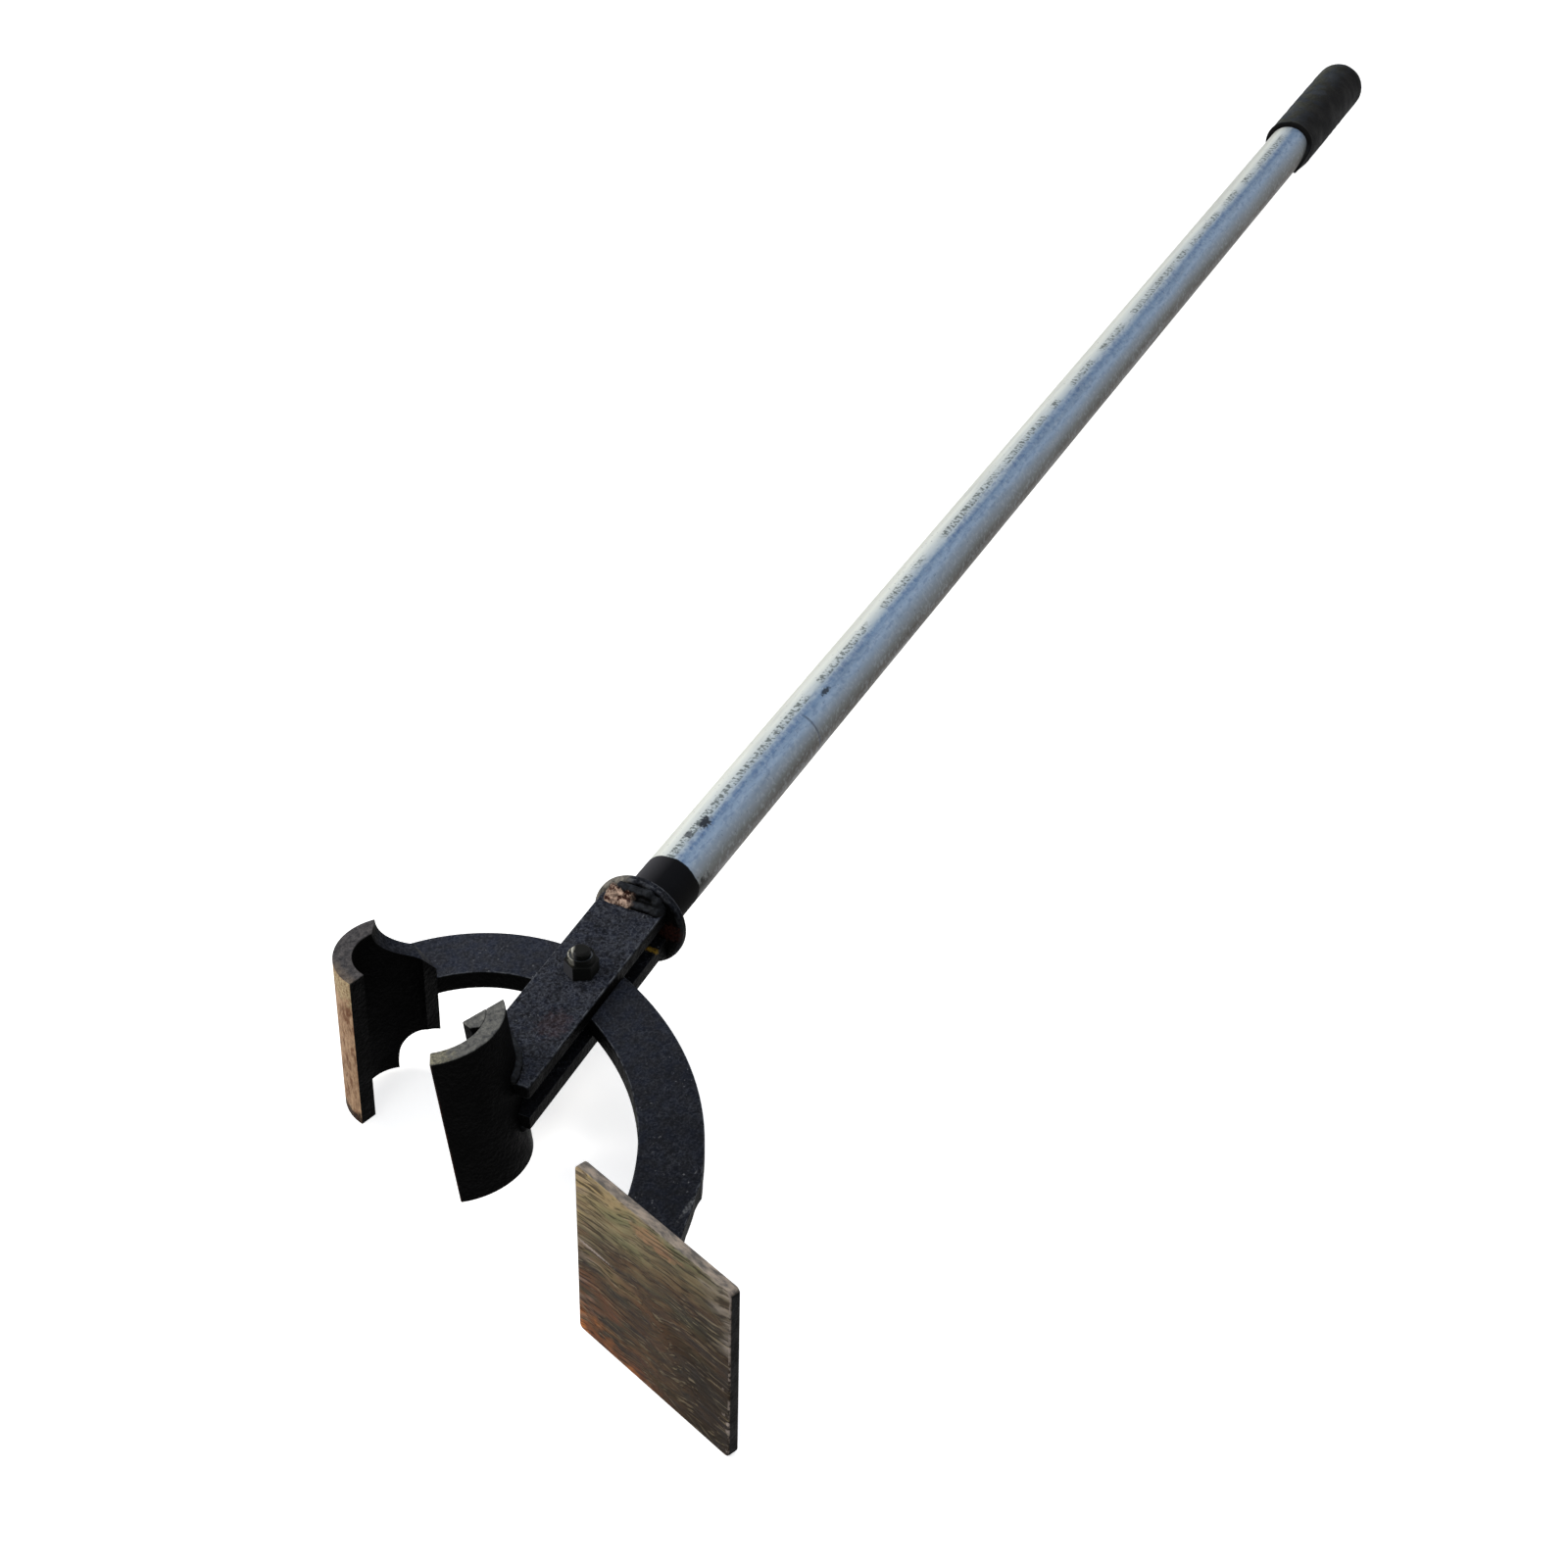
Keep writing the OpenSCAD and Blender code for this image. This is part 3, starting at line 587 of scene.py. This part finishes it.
# Fixed jaw, half a thick pipe with worn rims and its outer wall scraped bare beside the tip
fixedJaw = {"centre": Vector((115.717, 205.971, 0)) * mm, "radius": 30.15 * mm, "edge": 0.8,
            "bareTowards": flatPoint(Vector(), 155, 1), "bareFacing": flatPoint(Vector(), 140, 1),
            "bareFrom": 22.5 * mm, "paleFrom": 24 * mm, "paleSlope": 1.6, "rimWear": 0.9 * mm, "dustAndPaintedLight": 0.7}
bareTowards, bareFacing = fixedJaw["bareTowards"], fixedJaw["bareFacing"]
jawFoot, jawRim = (corner.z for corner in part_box("fixed_jaw"))
bareMiddle = (fixedJaw["centre"] + bareTowards * fixedJaw["radius"]) / mm
fixedWorn = (
    {"along": upwards, "from": upwards * (jawRim - fixedJaw["rimWear"]), "soft": 0.6, "ragged": 0.25,
     "amount": 0.65, "grain": 3, "dark": "#2c2c2e", "light": "#6c6867"},
    # the rim is paler towards the scraped side
    {"along": bareTowards * fixedJaw["paleSlope"] + upwards, "facing": upwards,
     "from": fixedJaw["centre"] + bareTowards * fixedJaw["paleFrom"] + upwards * jawRim, "soft": 6.0,
     "ragged": 1.5, "amount": 0.6, "grain": 4, "dark": "#3a2c26", "light": "#93836f"},
    {"along": bareTowards, "facing": bareFacing,
     "from": fixedJaw["centre"] + bareTowards * fixedJaw["bareFrom"], "soft": 2.0, "ragged": 3.5,
     "amount": 1.0, "grain": 3, "dark": "#6a4e3a", "light": "#b39679", "rust": "#5a3624"})
fixedPatches = (
    {"at": (bareMiddle.x, bareMiddle.y, jawRim / mm - 6), "size": (16, 16, 9), "amount": 0.6, "grain": 4,
     "dark": "#7d6c4f", "light": "#c2b48f", "facing": bareFacing},
    {"at": (bareMiddle.x, bareMiddle.y, jawFoot / mm), "size": (20, 20, 5.5), "amount": 0.95, "grain": 4,
     "dark": "#050505", "light": "#2f2119", "facing": bareFacing})
fixedPaint = enamelPaint("brushedEnamelFixedJaw", fixedWorn, fixedPatches, dustAndPaintedLight=fixedJaw["dustAndPaintedLight"])
dressSolid("fixed_jaw", "fixedJaw", "frame", "black_paint", fixedPaint, fixedJaw["edge"])

# Moving jaw and its lip, worn grey along the whole upper rim and rusty on the free end
movingJaw = {"lean": 8.4, "edge": 0.8, "lipEdge": 0.6, "height": 86.8 * mm, "rimWear": 0.9 * mm, "dustAndPaintedLight": 0.6,
             "centre": pivot + Vector((-95.1, 23.8, 0)) * mm, "radius": 36.5 * mm, "freeAngle": 210.7}
jawTurn = Matrix.Rotation(-math.radians(movingJaw["lean"]), 3, "X")
jawUp = jawTurn @ upwards
freeOut = jawTurn @ flatPoint(Vector(), movingJaw["freeAngle"] - 90, 1)
freeEnd = movingJaw["centre"] + jawTurn @ flatPoint(Vector(), movingJaw["freeAngle"], movingJaw["radius"])
toRim = jawUp * movingJaw["height"] / 2
movingWorn = (
    {"along": freeOut, "from": freeEnd - freeOut * movingJaw["rimWear"], "soft": 0.6, "ragged": 0.4,
     "amount": 0.6, "grain": 3, "dark": "#161211", "light": "#523329"},
    {"along": jawUp, "from": movingJaw["centre"] + toRim - jawUp * movingJaw["rimWear"], "soft": 0.6,
     "ragged": 0.2, "amount": 0.85, "grain": 3, "dark": "#404143", "light": "#787873"})
rimCorner = {"at": (freeEnd + toRim) / mm, "size": (14, 10, 4), "amount": 0.6, "grain": 3,
             "dark": "#4d4c40", "light": "#98937c", "facing": jawUp}
jawPaint = enamelPaint("brushedEnamelMovingJaw", movingWorn, [rimCorner], dustAndPaintedLight=movingJaw["dustAndPaintedLight"])
dressSolid("moving_jaw", "movingJaw", "lever", "black_paint", jawPaint, movingJaw["edge"])
dressSolid("moving_jaw_lip", "movingJawLip", "lever", "black_paint", jawPaint, movingJaw["lipEdge"])
print("jaws made")

# Fork bars and end disc: the lower bar lies in the shade of the upper one and is painted darker for it:
# painted shade
fork = {"edge": 1.0,
        "upper": {"dustAndPaintedLight": 0.95, "edgeWearAndHighlight": 0.85, "crinkle": 0.75, "paintedRelief": 0.85, "patches": (
            {"at": (138, 128, 13.8), "size": (11, 8, 3), "amount": 0.2, "dark": "#33201f",
             "light": "#5b4240"},)},
        # the lower bar's low dust, edge and relief values are painted shade; yellowed spatter beside the
        # disc, seen through the gap between the bars
        "lower": {"dustAndPaintedLight": 0.12, "edgeWearAndHighlight": 0.15, "crinkle": 0.2, "paintedRelief": 0.5, "patches": (
            {"at": (233.3, 122.5, -5.8), "size": (2.2, 7, 2.4), "amount": 0.9, "dark": "#4a3618",
             "light": "#a5842f"},
            {"at": (232.5, 131, -5.8), "size": (4, 4, 3), "amount": 0.7, "dark": "#3a2110",
             "light": "#7a4a26"})}}
for side in ("upper", "lower"):
    dressSolid(side + "_fork_bar", side + "ForkBar", "lever", "black_paint",
               enamelPaint("brushedEnamel" + side.capitalize() + "Bar", **fork[side]), fork["edge"])
disc = {"edge": 2.0, "segments": 5, "dustAndPaintedLight": 0.5, "centre": Vector((247.5, 137.26, 0)) * mm,
        "sunny": Vector((-0.3, 0.75, 0.6)).normalized(), "litRimFrom": 18.5 * mm,
        # rust on the disc's face, beside the gap between the bars
        "rust": {"at": (244.5, 117, -0.5), "size": (3, 7, 6), "amount": 0.5, "dark": "#140a08",
                 "light": "#3a1e17"}}
# the rim on the sunny side is painted pale grey as bare steel: a painted highlight
discLitRim = [{"along": disc["sunny"], "from": disc["centre"] + disc["sunny"] * disc["litRimFrom"], "soft": 4.0,
             "ragged": 0.8, "amount": 0.85, "grain": 3, "dark": "#3a3937", "light": "#86827a"}]
dressSolid("fork_disc", "forkDisc", "lever", "black_paint",
           enamelPaint("brushedEnamelDisc", discLitRim, [disc["rust"]], dustAndPaintedLight=disc["dustAndPaintedLight"]), disc["edge"],
           segments=disc["segments"])
print("fork made")

# Foot plate
footPlate = {"edge": 0.9, "faceAngle": 158, "width": 107, "height": 106}
dressSolid("foot_plate", "footPlate", "frame", "bare_steel", patinatedPlate("patinatedSteel", footPlate),
           footPlate["edge"])
print("foot plate made")

# Weld beads of overlapping flattened drops, sizes in millimetres
bead = {"radius": 3.6, "spacing": 1.7, "flat": 0.55, "lean": 0.35, "swell": 0.12, "stride": 0.61,
        "voxel": 0.5, "smooths": 2, "lump": 0.35, "lumpSize": 2.5, "shift": Vector((1, 1.7, 2.3))}


def fuse(bm):
    # joins overlapping lumps into one closed skin
    mesh = toMesh(bm, "lumps")
    lumps = placeObject("lumps", mesh)
    remesh = lumps.modifiers.new("skin", "REMESH")
    remesh.mode = "VOXEL"
    remesh.voxel_size = bead["voxel"] * mm
    evaluated = lumps.evaluated_get(bpy.context.evaluated_depsgraph_get())
    skin = bmesh.new()
    skin.from_mesh(evaluated.to_mesh())
    evaluated.to_mesh_clear()
    bpy.data.objects.remove(lumps)
    bpy.data.meshes.remove(mesh)
    for step in range(bead["smooths"]):
        bmesh.ops.smooth_vert(skin, verts=skin.verts, factor=0.5, use_axis_x=True, use_axis_y=True,
                              use_axis_z=True)
    return skin


def beadAlong(paths, seed, share=1.0):
    # fuses drops along the paths to one rippled skin, then pushes it in and out by a smooth noise
    bm = bmesh.new()
    radius = bead["radius"] * share
    for points in paths:
        for i, point in enumerate(points):
            ahead = (points[min(i + 1, len(points) - 1)] - points[max(i - 1, 0)]).normalized()
            turn = ahead.to_track_quat("X", "Z").to_matrix().to_4x4()
            swell = 1 + bead["swell"] * noise.noise(Vector((i * bead["stride"], seed, 0)))
            size = Matrix.Diagonal((radius * bead["flat"] * mm, radius * swell * mm, radius * swell * mm, 1))
            tilt = Matrix.Rotation(bead["lean"], 4, "Y")
            bmesh.ops.create_icosphere(bm, subdivisions=2, radius=1,
                                       matrix=Matrix.Translation(point) @ turn @ tilt @ size)
    skin = fuse(bm)
    skin.normal_update()
    for v in skin.verts:
        lump = noise.noise(v.co / (bead["lumpSize"] * mm) + bead["shift"] * seed)
        v.co += v.normal * lump * bead["lump"] * mm
    return skin


def straightRun(start, end):
    count = max(2, round((end - start).length / (bead["spacing"] * mm)))
    return [start.lerp(end, i / count) for i in range(count + 1)]


def arcRun(centre, radius, startDeg, endDeg):
    count = max(2, round(abs(endDeg - startDeg) * math.pi / 180 * radius / (bead["spacing"] * mm)))
    return [flatPoint(centre, startDeg + (endDeg - startDeg) * i / count, radius) for i in range(count + 1)]


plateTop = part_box("frame_plate")[1].z
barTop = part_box("upper_fork_bar")[1].z
discLow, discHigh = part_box("fork_disc")
weld = {"sink": 0.9 * mm, "fixedJawArc": (10, 60), "movingJawArc": (-80, -15), "movingJawShare": 0.8,
        "footHalfRun": 14 * mm, "footSink": 1.4 * mm, "ringOut": 0.8 * mm,
        # where the bead beside the disc shows bare: on its sunny half and below its crest
        "bare": ({"along": (0, 1, 0), "from": (0, 136 * mm, 0), "soft": 5, "ragged": 4},
                 {"along": (-0.25, 0, -1), "from": (discLow.x, 0, barTop + 8.5 * mm), "soft": 1,
                  "ragged": 3}),
        # the passes of a fork weld: back from the disc, up from the bar, shorter at each end
        "passes": {"upper": ((0.0, 0.0, 2.5), (3.4, -0.6, 3.0), (0.4, 3.6, 4.5), (-0.2, 6.4, 9.0)),
                   "lower": ((0.0, 0.0, 2.5),)}}
paintedWeld = weldMetal("paintedWeldBead")
rustyWeld = weldMetal("rustyWeldBead", weld["bare"])
for side, sign in (("upper", 1), ("lower", -1)):
    # round the back of the fixed jaw on each face of the frame plate
    centre = fixedJaw["centre"] + upwards * sign * (plateTop + weld["sink"])
    run = arcRun(centre, fixedJaw["radius"] + weld["sink"], *weld["fixedJawArc"])
    makePiece(beadAlong([run], 3 + sign), side + "FixedJawWeld", "frame", "fixed_jaw_weld_" + side,
              paintedWeld)

    # along the back of the foot plate
    lo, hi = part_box("foot_plate_weld_" + side)
    across = flatPoint(Vector(), footPlate["faceAngle"] - 90, 1) * weld["footHalfRun"]
    seat = (lo + hi) / 2 - flatPoint(Vector(), footPlate["faceAngle"] + 180, 1) * weld["footSink"]
    seat.z = sign * (plateTop + weld["sink"])
    makePiece(beadAlong([straightRun(seat - across, seat + across)], 7 + sign), side + "FootPlateWeld",
              "frame", "foot_plate_weld_" + side, paintedWeld)

    # round the back of the moving jaw on each bar's face
    z = sign * (barTop + weld["sink"])
    centre = movingJaw["centre"] + Vector((0, z * math.tan(math.radians(movingJaw["lean"])), z))
    run = arcRun(centre, movingJaw["radius"] + weld["sink"], *weld["movingJawArc"])
    makePiece(beadAlong([run], 11 + sign, weld["movingJawShare"]), side + "MovingJawWeld", "lever",
              "moving_jaw_weld_" + side, paintedWeld)

    # between each bar and the end disc
    lo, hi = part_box("fork_weld_" + side)
    x = discLow.x - weld["sink"]
    rows = [straightRun(Vector((x - back * mm, lo.y + short * mm, z + sign * up * mm)),
                        Vector((x - back * mm, hi.y - short * mm, z + sign * up * mm)))
            for back, up, short in weld["passes"][side]]
    makePiece(beadAlong(rows, 17 + sign), side + "ForkWeld", "lever", "fork_weld_" + side,
              rustyWeld if side == "upper" else paintedWeld)

# the bead round the foot of the handle pipe
pipeLow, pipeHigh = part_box("handle_pipe")
pipeAxis = Vector((0, (pipeLow.y + pipeHigh.y) / 2, (pipeLow.z + pipeHigh.z) / 2))
pipeRadius = (pipeHigh.y - pipeLow.y) / 2
ringRadius = pipeRadius + weld["ringOut"]
ringCount = round(2 * math.pi * ringRadius / (bead["spacing"] * mm))
ringCentre = pipeAxis + Vector((discHigh.x + weld["sink"], 0, 0))
ring = []
for i in range(ringCount + 2):
    a = 2 * math.pi * i / ringCount
    ring.append(ringCentre + Vector((0, math.cos(a), math.sin(a))) * ringRadius)
makePiece(beadAlong([ring], 23), "handleWeld", "lever", "handle_weld", paintedWeld)
print("weld beads made")

# Pivot bolt, washer and lock nut, brushed black above the bar except on the collar's sunny side, where the
# bright zinc is partly a painted highlight
fastener = {"bevel": {"segments": 2, "sharper": 35}, "bolt": 0.4, "washer": 0.35, "nut": 0.5, "ring": 0.2,
            "sunny": Vector((-0.42, 0.91, 0)).normalized(), "sunnyFrom": 3.107 * mm, "collar": 3.4 * mm}
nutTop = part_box("lock_nut")[1].z
blackenedZinc = zincPlating("blackenedZincPlating", (
    {"along": fastener["sunny"], "from": pivot + fastener["sunny"] * fastener["sunnyFrom"], "soft": 1.6,
     "ragged": 1.2},
    {"along": upwards, "from": upwards * (nutTop - fastener["collar"]), "soft": 0.5, "ragged": 0.3}))
for node, name, slotName, material, size in (
        ("pivot_bolt", "pivotBolt", "zinc_plate", blackenedZinc, "bolt"),
        ("bolt_washer", "boltWasher", "zinc_plate", zincPlating("zincPlating"), "washer"),
        ("lock_nut", "lockNut", "zinc_plate", blackenedZinc, "nut"),
        ("lock_nut_ring", "lockNutRing", "nylon", ringNylon("ringNylon"), "ring")):
    dressSolid(node, name, "lever", slotName, material, fastener[size], **fastener["bevel"])
print("fasteners made")

# Handle pipe, open at the foot end inside the disc and closed by the grip
pipe = {"wall": 3.2, "segments": 96, "girth": 2 * math.pi * pipeRadius, "metallic": 0.3,
        "paintEnd": discHigh.x + 33 * mm, "ringAt": 439,
        # tones round the pipe, by share of a turn from the underside through the near side and the top:
        # painted shade low down, a painted blue sky reflection near the top and a painted highlight on the
        # sunny side
        "bands": ((0.0, "#45423c"), (0.265, "#4e4b46"), (0.305, "#6b6e6d"), (0.345, "#858e97"),
                  (0.4, "#90a4bb"), (0.45, "#6e86a2"), (0.49, "#a9b5bd"), (0.565, "#d8dcd6"),
                  (0.605, "#c4c7c0"), (1.0, "#45423c")),
        "rows": ({"turn": 0.507, "halfTurn": 0.026, "size": 2.1, "amount": 0.8, "hex": "#434c4a"},
                 {"turn": 0.455, "halfTurn": 0.022, "size": 3.4, "amount": 0.35, "hex": "#3c5580"}),
        # dark scuffs beside the painted foot and one further up
        "marks": ({"at": (306, 138.5, 16.8), "size": (4, 2.6, 2), "amount": 0.8, "grain": 1.6},
                  {"at": (320, 135.5, 16.6), "size": (6, 3.2, 2), "amount": 1.0, "grain": 1.6},
                  {"at": (468, 131.3, 15.8), "size": (5, 1.6, 2), "amount": 0.9, "grain": 1.6}),
        # paint that ran past the edge on the shaded side
        "overruns": ({"at": (290, 121, -3), "size": (10, 6, 8), "amount": 1.0, "grain": 3},
                     {"at": (302, 121, -6), "size": (9, 6, 5), "amount": 0.9, "grain": 2.5})}
bore = pipeRadius - pipe["wall"] * mm
bm = turnedBody(pipeAxis, [(pipeLow.x, pipeRadius), (pipeHigh.x, pipeRadius), (pipeHigh.x, bore),
                           (pipeLow.x, bore)], pipe["segments"])
mapLayer = bm.loops.layers.uv.new("around")
for face in bm.faces:
    mid = face.calc_center_median() - pipeAxis
    midTurn = (math.atan2(-mid.y, -mid.z) / (2 * math.pi)) % 1
    for loop in face.loops:
        spot = loop.vert.co - pipeAxis
        turn = (math.atan2(-spot.y, -spot.z) / (2 * math.pi)) % 1
        turn += round(midTurn - turn)
        loop[mapLayer].uv = (spot.x, turn * pipe["girth"])
makePiece(bm, "handlePipe", "lever", "handle_pipe",
          galvanisedPipe("galvanisedSteel", pipe))
print("pipe made")

# Hand grip: a dipped rubber sleeve with a rolled mouth and a round end
gripLow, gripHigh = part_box("hand_grip")
grip = {"radius": 20.5 * mm, "corner": 15 * mm, "cornerSteps": 12, "end": 10 * mm,
        "bore": pipeRadius + 0.05 * mm, "segments": 96, "step": 2.0 * mm,
        # the rolled mouth, back from its face and out from the sleeve, then the start of the plain sleeve
        "mouth": ((0.2, -1.3), (0.8, -0.2), (1.8, 0.4), (3.0, 0.1)), "plainFrom": 4.5 * mm,
        # lumps in the outer skin, by size and height in millimetres
        "lumps": ((7, 0.25), (2.5, 0.12)), "skinFrom": 0.5 * mm,
        # a tongue of rubber runs down the pipe from the mouth, on one side, and thins towards its tip
        "tongue": 27 * mm, "tongueFade": 34 * mm, "tongueWidth": 34, "tongueSkin": 1.2 * mm,
        "tongueThin": 0.85, "tongueDirection": Vector((0, -0.868, -0.497))}
profile = [(gripLow.x, grip["bore"])]
profile += [(gripLow.x + back * mm, grip["radius"] + out * mm) for back, out in grip["mouth"]]
x = gripLow.x + grip["plainFrom"]
while x < gripHigh.x - grip["corner"]:
    profile.append((x, grip["radius"]))
    x += grip["step"]
for i in range(grip["cornerSteps"] + 1):
    a = math.pi / 2 * (1 - i / grip["cornerSteps"])
    profile.append((gripHigh.x - grip["corner"] * (1 - math.cos(a)),
                    grip["radius"] - grip["corner"] * (1 - math.sin(a))))
profile += [(gripHigh.x, 0), (gripHigh.x - grip["end"], 0), (gripHigh.x - grip["end"], grip["bore"])]
bm = turnedBody(pipeAxis, profile, grip["segments"])
for v in bm.verts:
    spot = v.co - pipeAxis
    radius = math.hypot(spot.y, spot.z)
    out = Vector((0, spot.y, spot.z)).normalized()
    if radius > pipeRadius + grip["skinFrom"]:
        v.co += out * sum(noise.noise(v.co / (size * mm)) * height for size, height in grip["lumps"]) * mm
    behind = v.co.x - gripLow.x
    if behind < grip["tongueFade"]:
        degrees = math.degrees(out.angle(grip["tongueDirection"]))
        share = math.exp(-(degrees / grip["tongueWidth"]) ** 2) * (1 - behind / grip["tongueFade"])
        v.co.x -= grip["tongue"] * share
        thin = max(0.0, radius - pipeRadius - grip["tongueSkin"])
        beyond = max(0.0, gripLow.x - v.co.x) / grip["tongue"]
        v.co -= out * thin * beyond * grip["tongueThin"]
makePiece(bm, "handGrip", "lever", "hand_grip", mouldedRubber("mouldedRubber"))
print("grip made")

# Floor, light and camera
stage = {"floorSize": 14.0, "floorMiddle": 0.7, "floorDrop": 0.3 * mm, "floorPale": "#f4f4f4",
         "floorDark": "#ececec", "bounce": "#aaaaaa", "glow": 0.62, "sky": "#97999d", "white": "#ffffff"}


def seenStraight(add):
    # 1 for rays from the camera, also by way of a mirror or glass
    rays = add("LightPath").node.outputs
    seen = add("Math", rays["Is Camera Ray"], rays["Is Glossy Ray"], operation="ADD")
    return add("Math", seen, rays["Is Transmission Ray"], operation="ADD")


floorMaterial, add, shader = newMaterial("paleFloor")
seen = seenStraight(add)
speckle = add("Math", grain(add, add("TexCoord", out="Object"), 30), 0.02)
pale = add("Mix", speckle, stage["floorPale"], stage["floorDark"])
fill(shader, {"Base Color": add("Mix", seen, stage["bounce"], pale), "Roughness": 0.9,
              "Specular IOR Level": 0.0, "Emission Color": stage["white"],
              "Emission Strength": add("Math", seen, stage["glow"])})
bm = bmesh.new()
bmesh.ops.create_grid(bm, x_segments=1, y_segments=1, size=stage["floorSize"] / 2,
                      matrix=Matrix.Translation((stage["floorMiddle"], 0, cadBox[0].z - stage["floorDrop"])))
floor = placeObject("floor", toMesh(bm, "floor"))
floor.data.materials.append(floorMaterial)

world = bpy.data.worlds.new("studio")
bpy.context.scene.world = world
world.use_nodes = True
add = partial(addNode, world.node_tree)
sky = add("Mix", seenStraight(add), stage["sky"], stage["white"])
fill(world.node_tree.nodes["Background"], {"Color": sky})

target = Vector((0.35, 0.13, 0))
lamps = (
    {"name": "keyLamp", "towards": (-0.35, 0.8, 0.6), "distance": 2.6, "size": 1.4, "power": 52,
     "colour": (1.0, 0.96, 0.9)},
    {"name": "skyLamp", "towards": (0.15, -0.1, 1.0), "distance": 2.8, "size": 3.0, "power": 26,
     "colour": (0.93, 0.96, 1.0)},
    {"name": "frontLamp", "towards": (-0.9, -0.25, 0.35), "distance": 2.6, "size": 1.6, "power": 16,
     "colour": (1.0, 0.97, 0.93)})
for lamp in lamps:
    light = bpy.data.lights.new(lamp["name"], "AREA")
    light.size = lamp["size"]
    light.energy = lamp["power"]
    light.color = lamp["colour"]
    holder = placeObject(lamp["name"], light)
    direction = Vector(lamp["towards"]).normalized()
    holder.location = target + direction * lamp["distance"]
    holder.rotation_mode = "QUATERNION"
    holder.rotation_quaternion = direction.to_track_quat("Z", "Y")

# The camera stands where the photograph was taken from, worked out from the pipe, the arcs and the foot plate
view = {"place": Vector((-773.82, -416.36, 937.85)) * mm, "yaw": 24.76, "pitch": 36.13, "roll": 1.46,
        "focalPixels": 2842.4, "photoWidth": 1600, "sensor": 36, "near": 0.05, "far": 50}
yaw, pitch, roll = (math.radians(view[k]) for k in ("yaw", "pitch", "roll"))
ahead = Vector((math.cos(yaw) * math.cos(pitch), math.sin(yaw) * math.cos(pitch), -math.sin(pitch)))
right = ahead.cross(upwards).normalized()
up = right.cross(ahead)
tiltedRight = right * math.cos(roll) + up * math.sin(roll)
tiltedUp = up * math.cos(roll) - right * math.sin(roll)
cameraData = bpy.data.cameras.new("camera")
cameraData.sensor_width = view["sensor"]
cameraData.lens = view["focalPixels"] * view["sensor"] / view["photoWidth"]
cameraData.clip_start = view["near"]
cameraData.clip_end = view["far"]
camera = placeObject("camera", cameraData)
turn = Matrix((tiltedRight, tiltedUp, -ahead)).transposed()
camera.matrix_world = Matrix.Translation(view["place"]) @ turn.to_4x4()
bpy.context.scene.camera = camera
bpy.context.scene.view_settings.view_transform = "Standard"
print("stage, light and camera set")
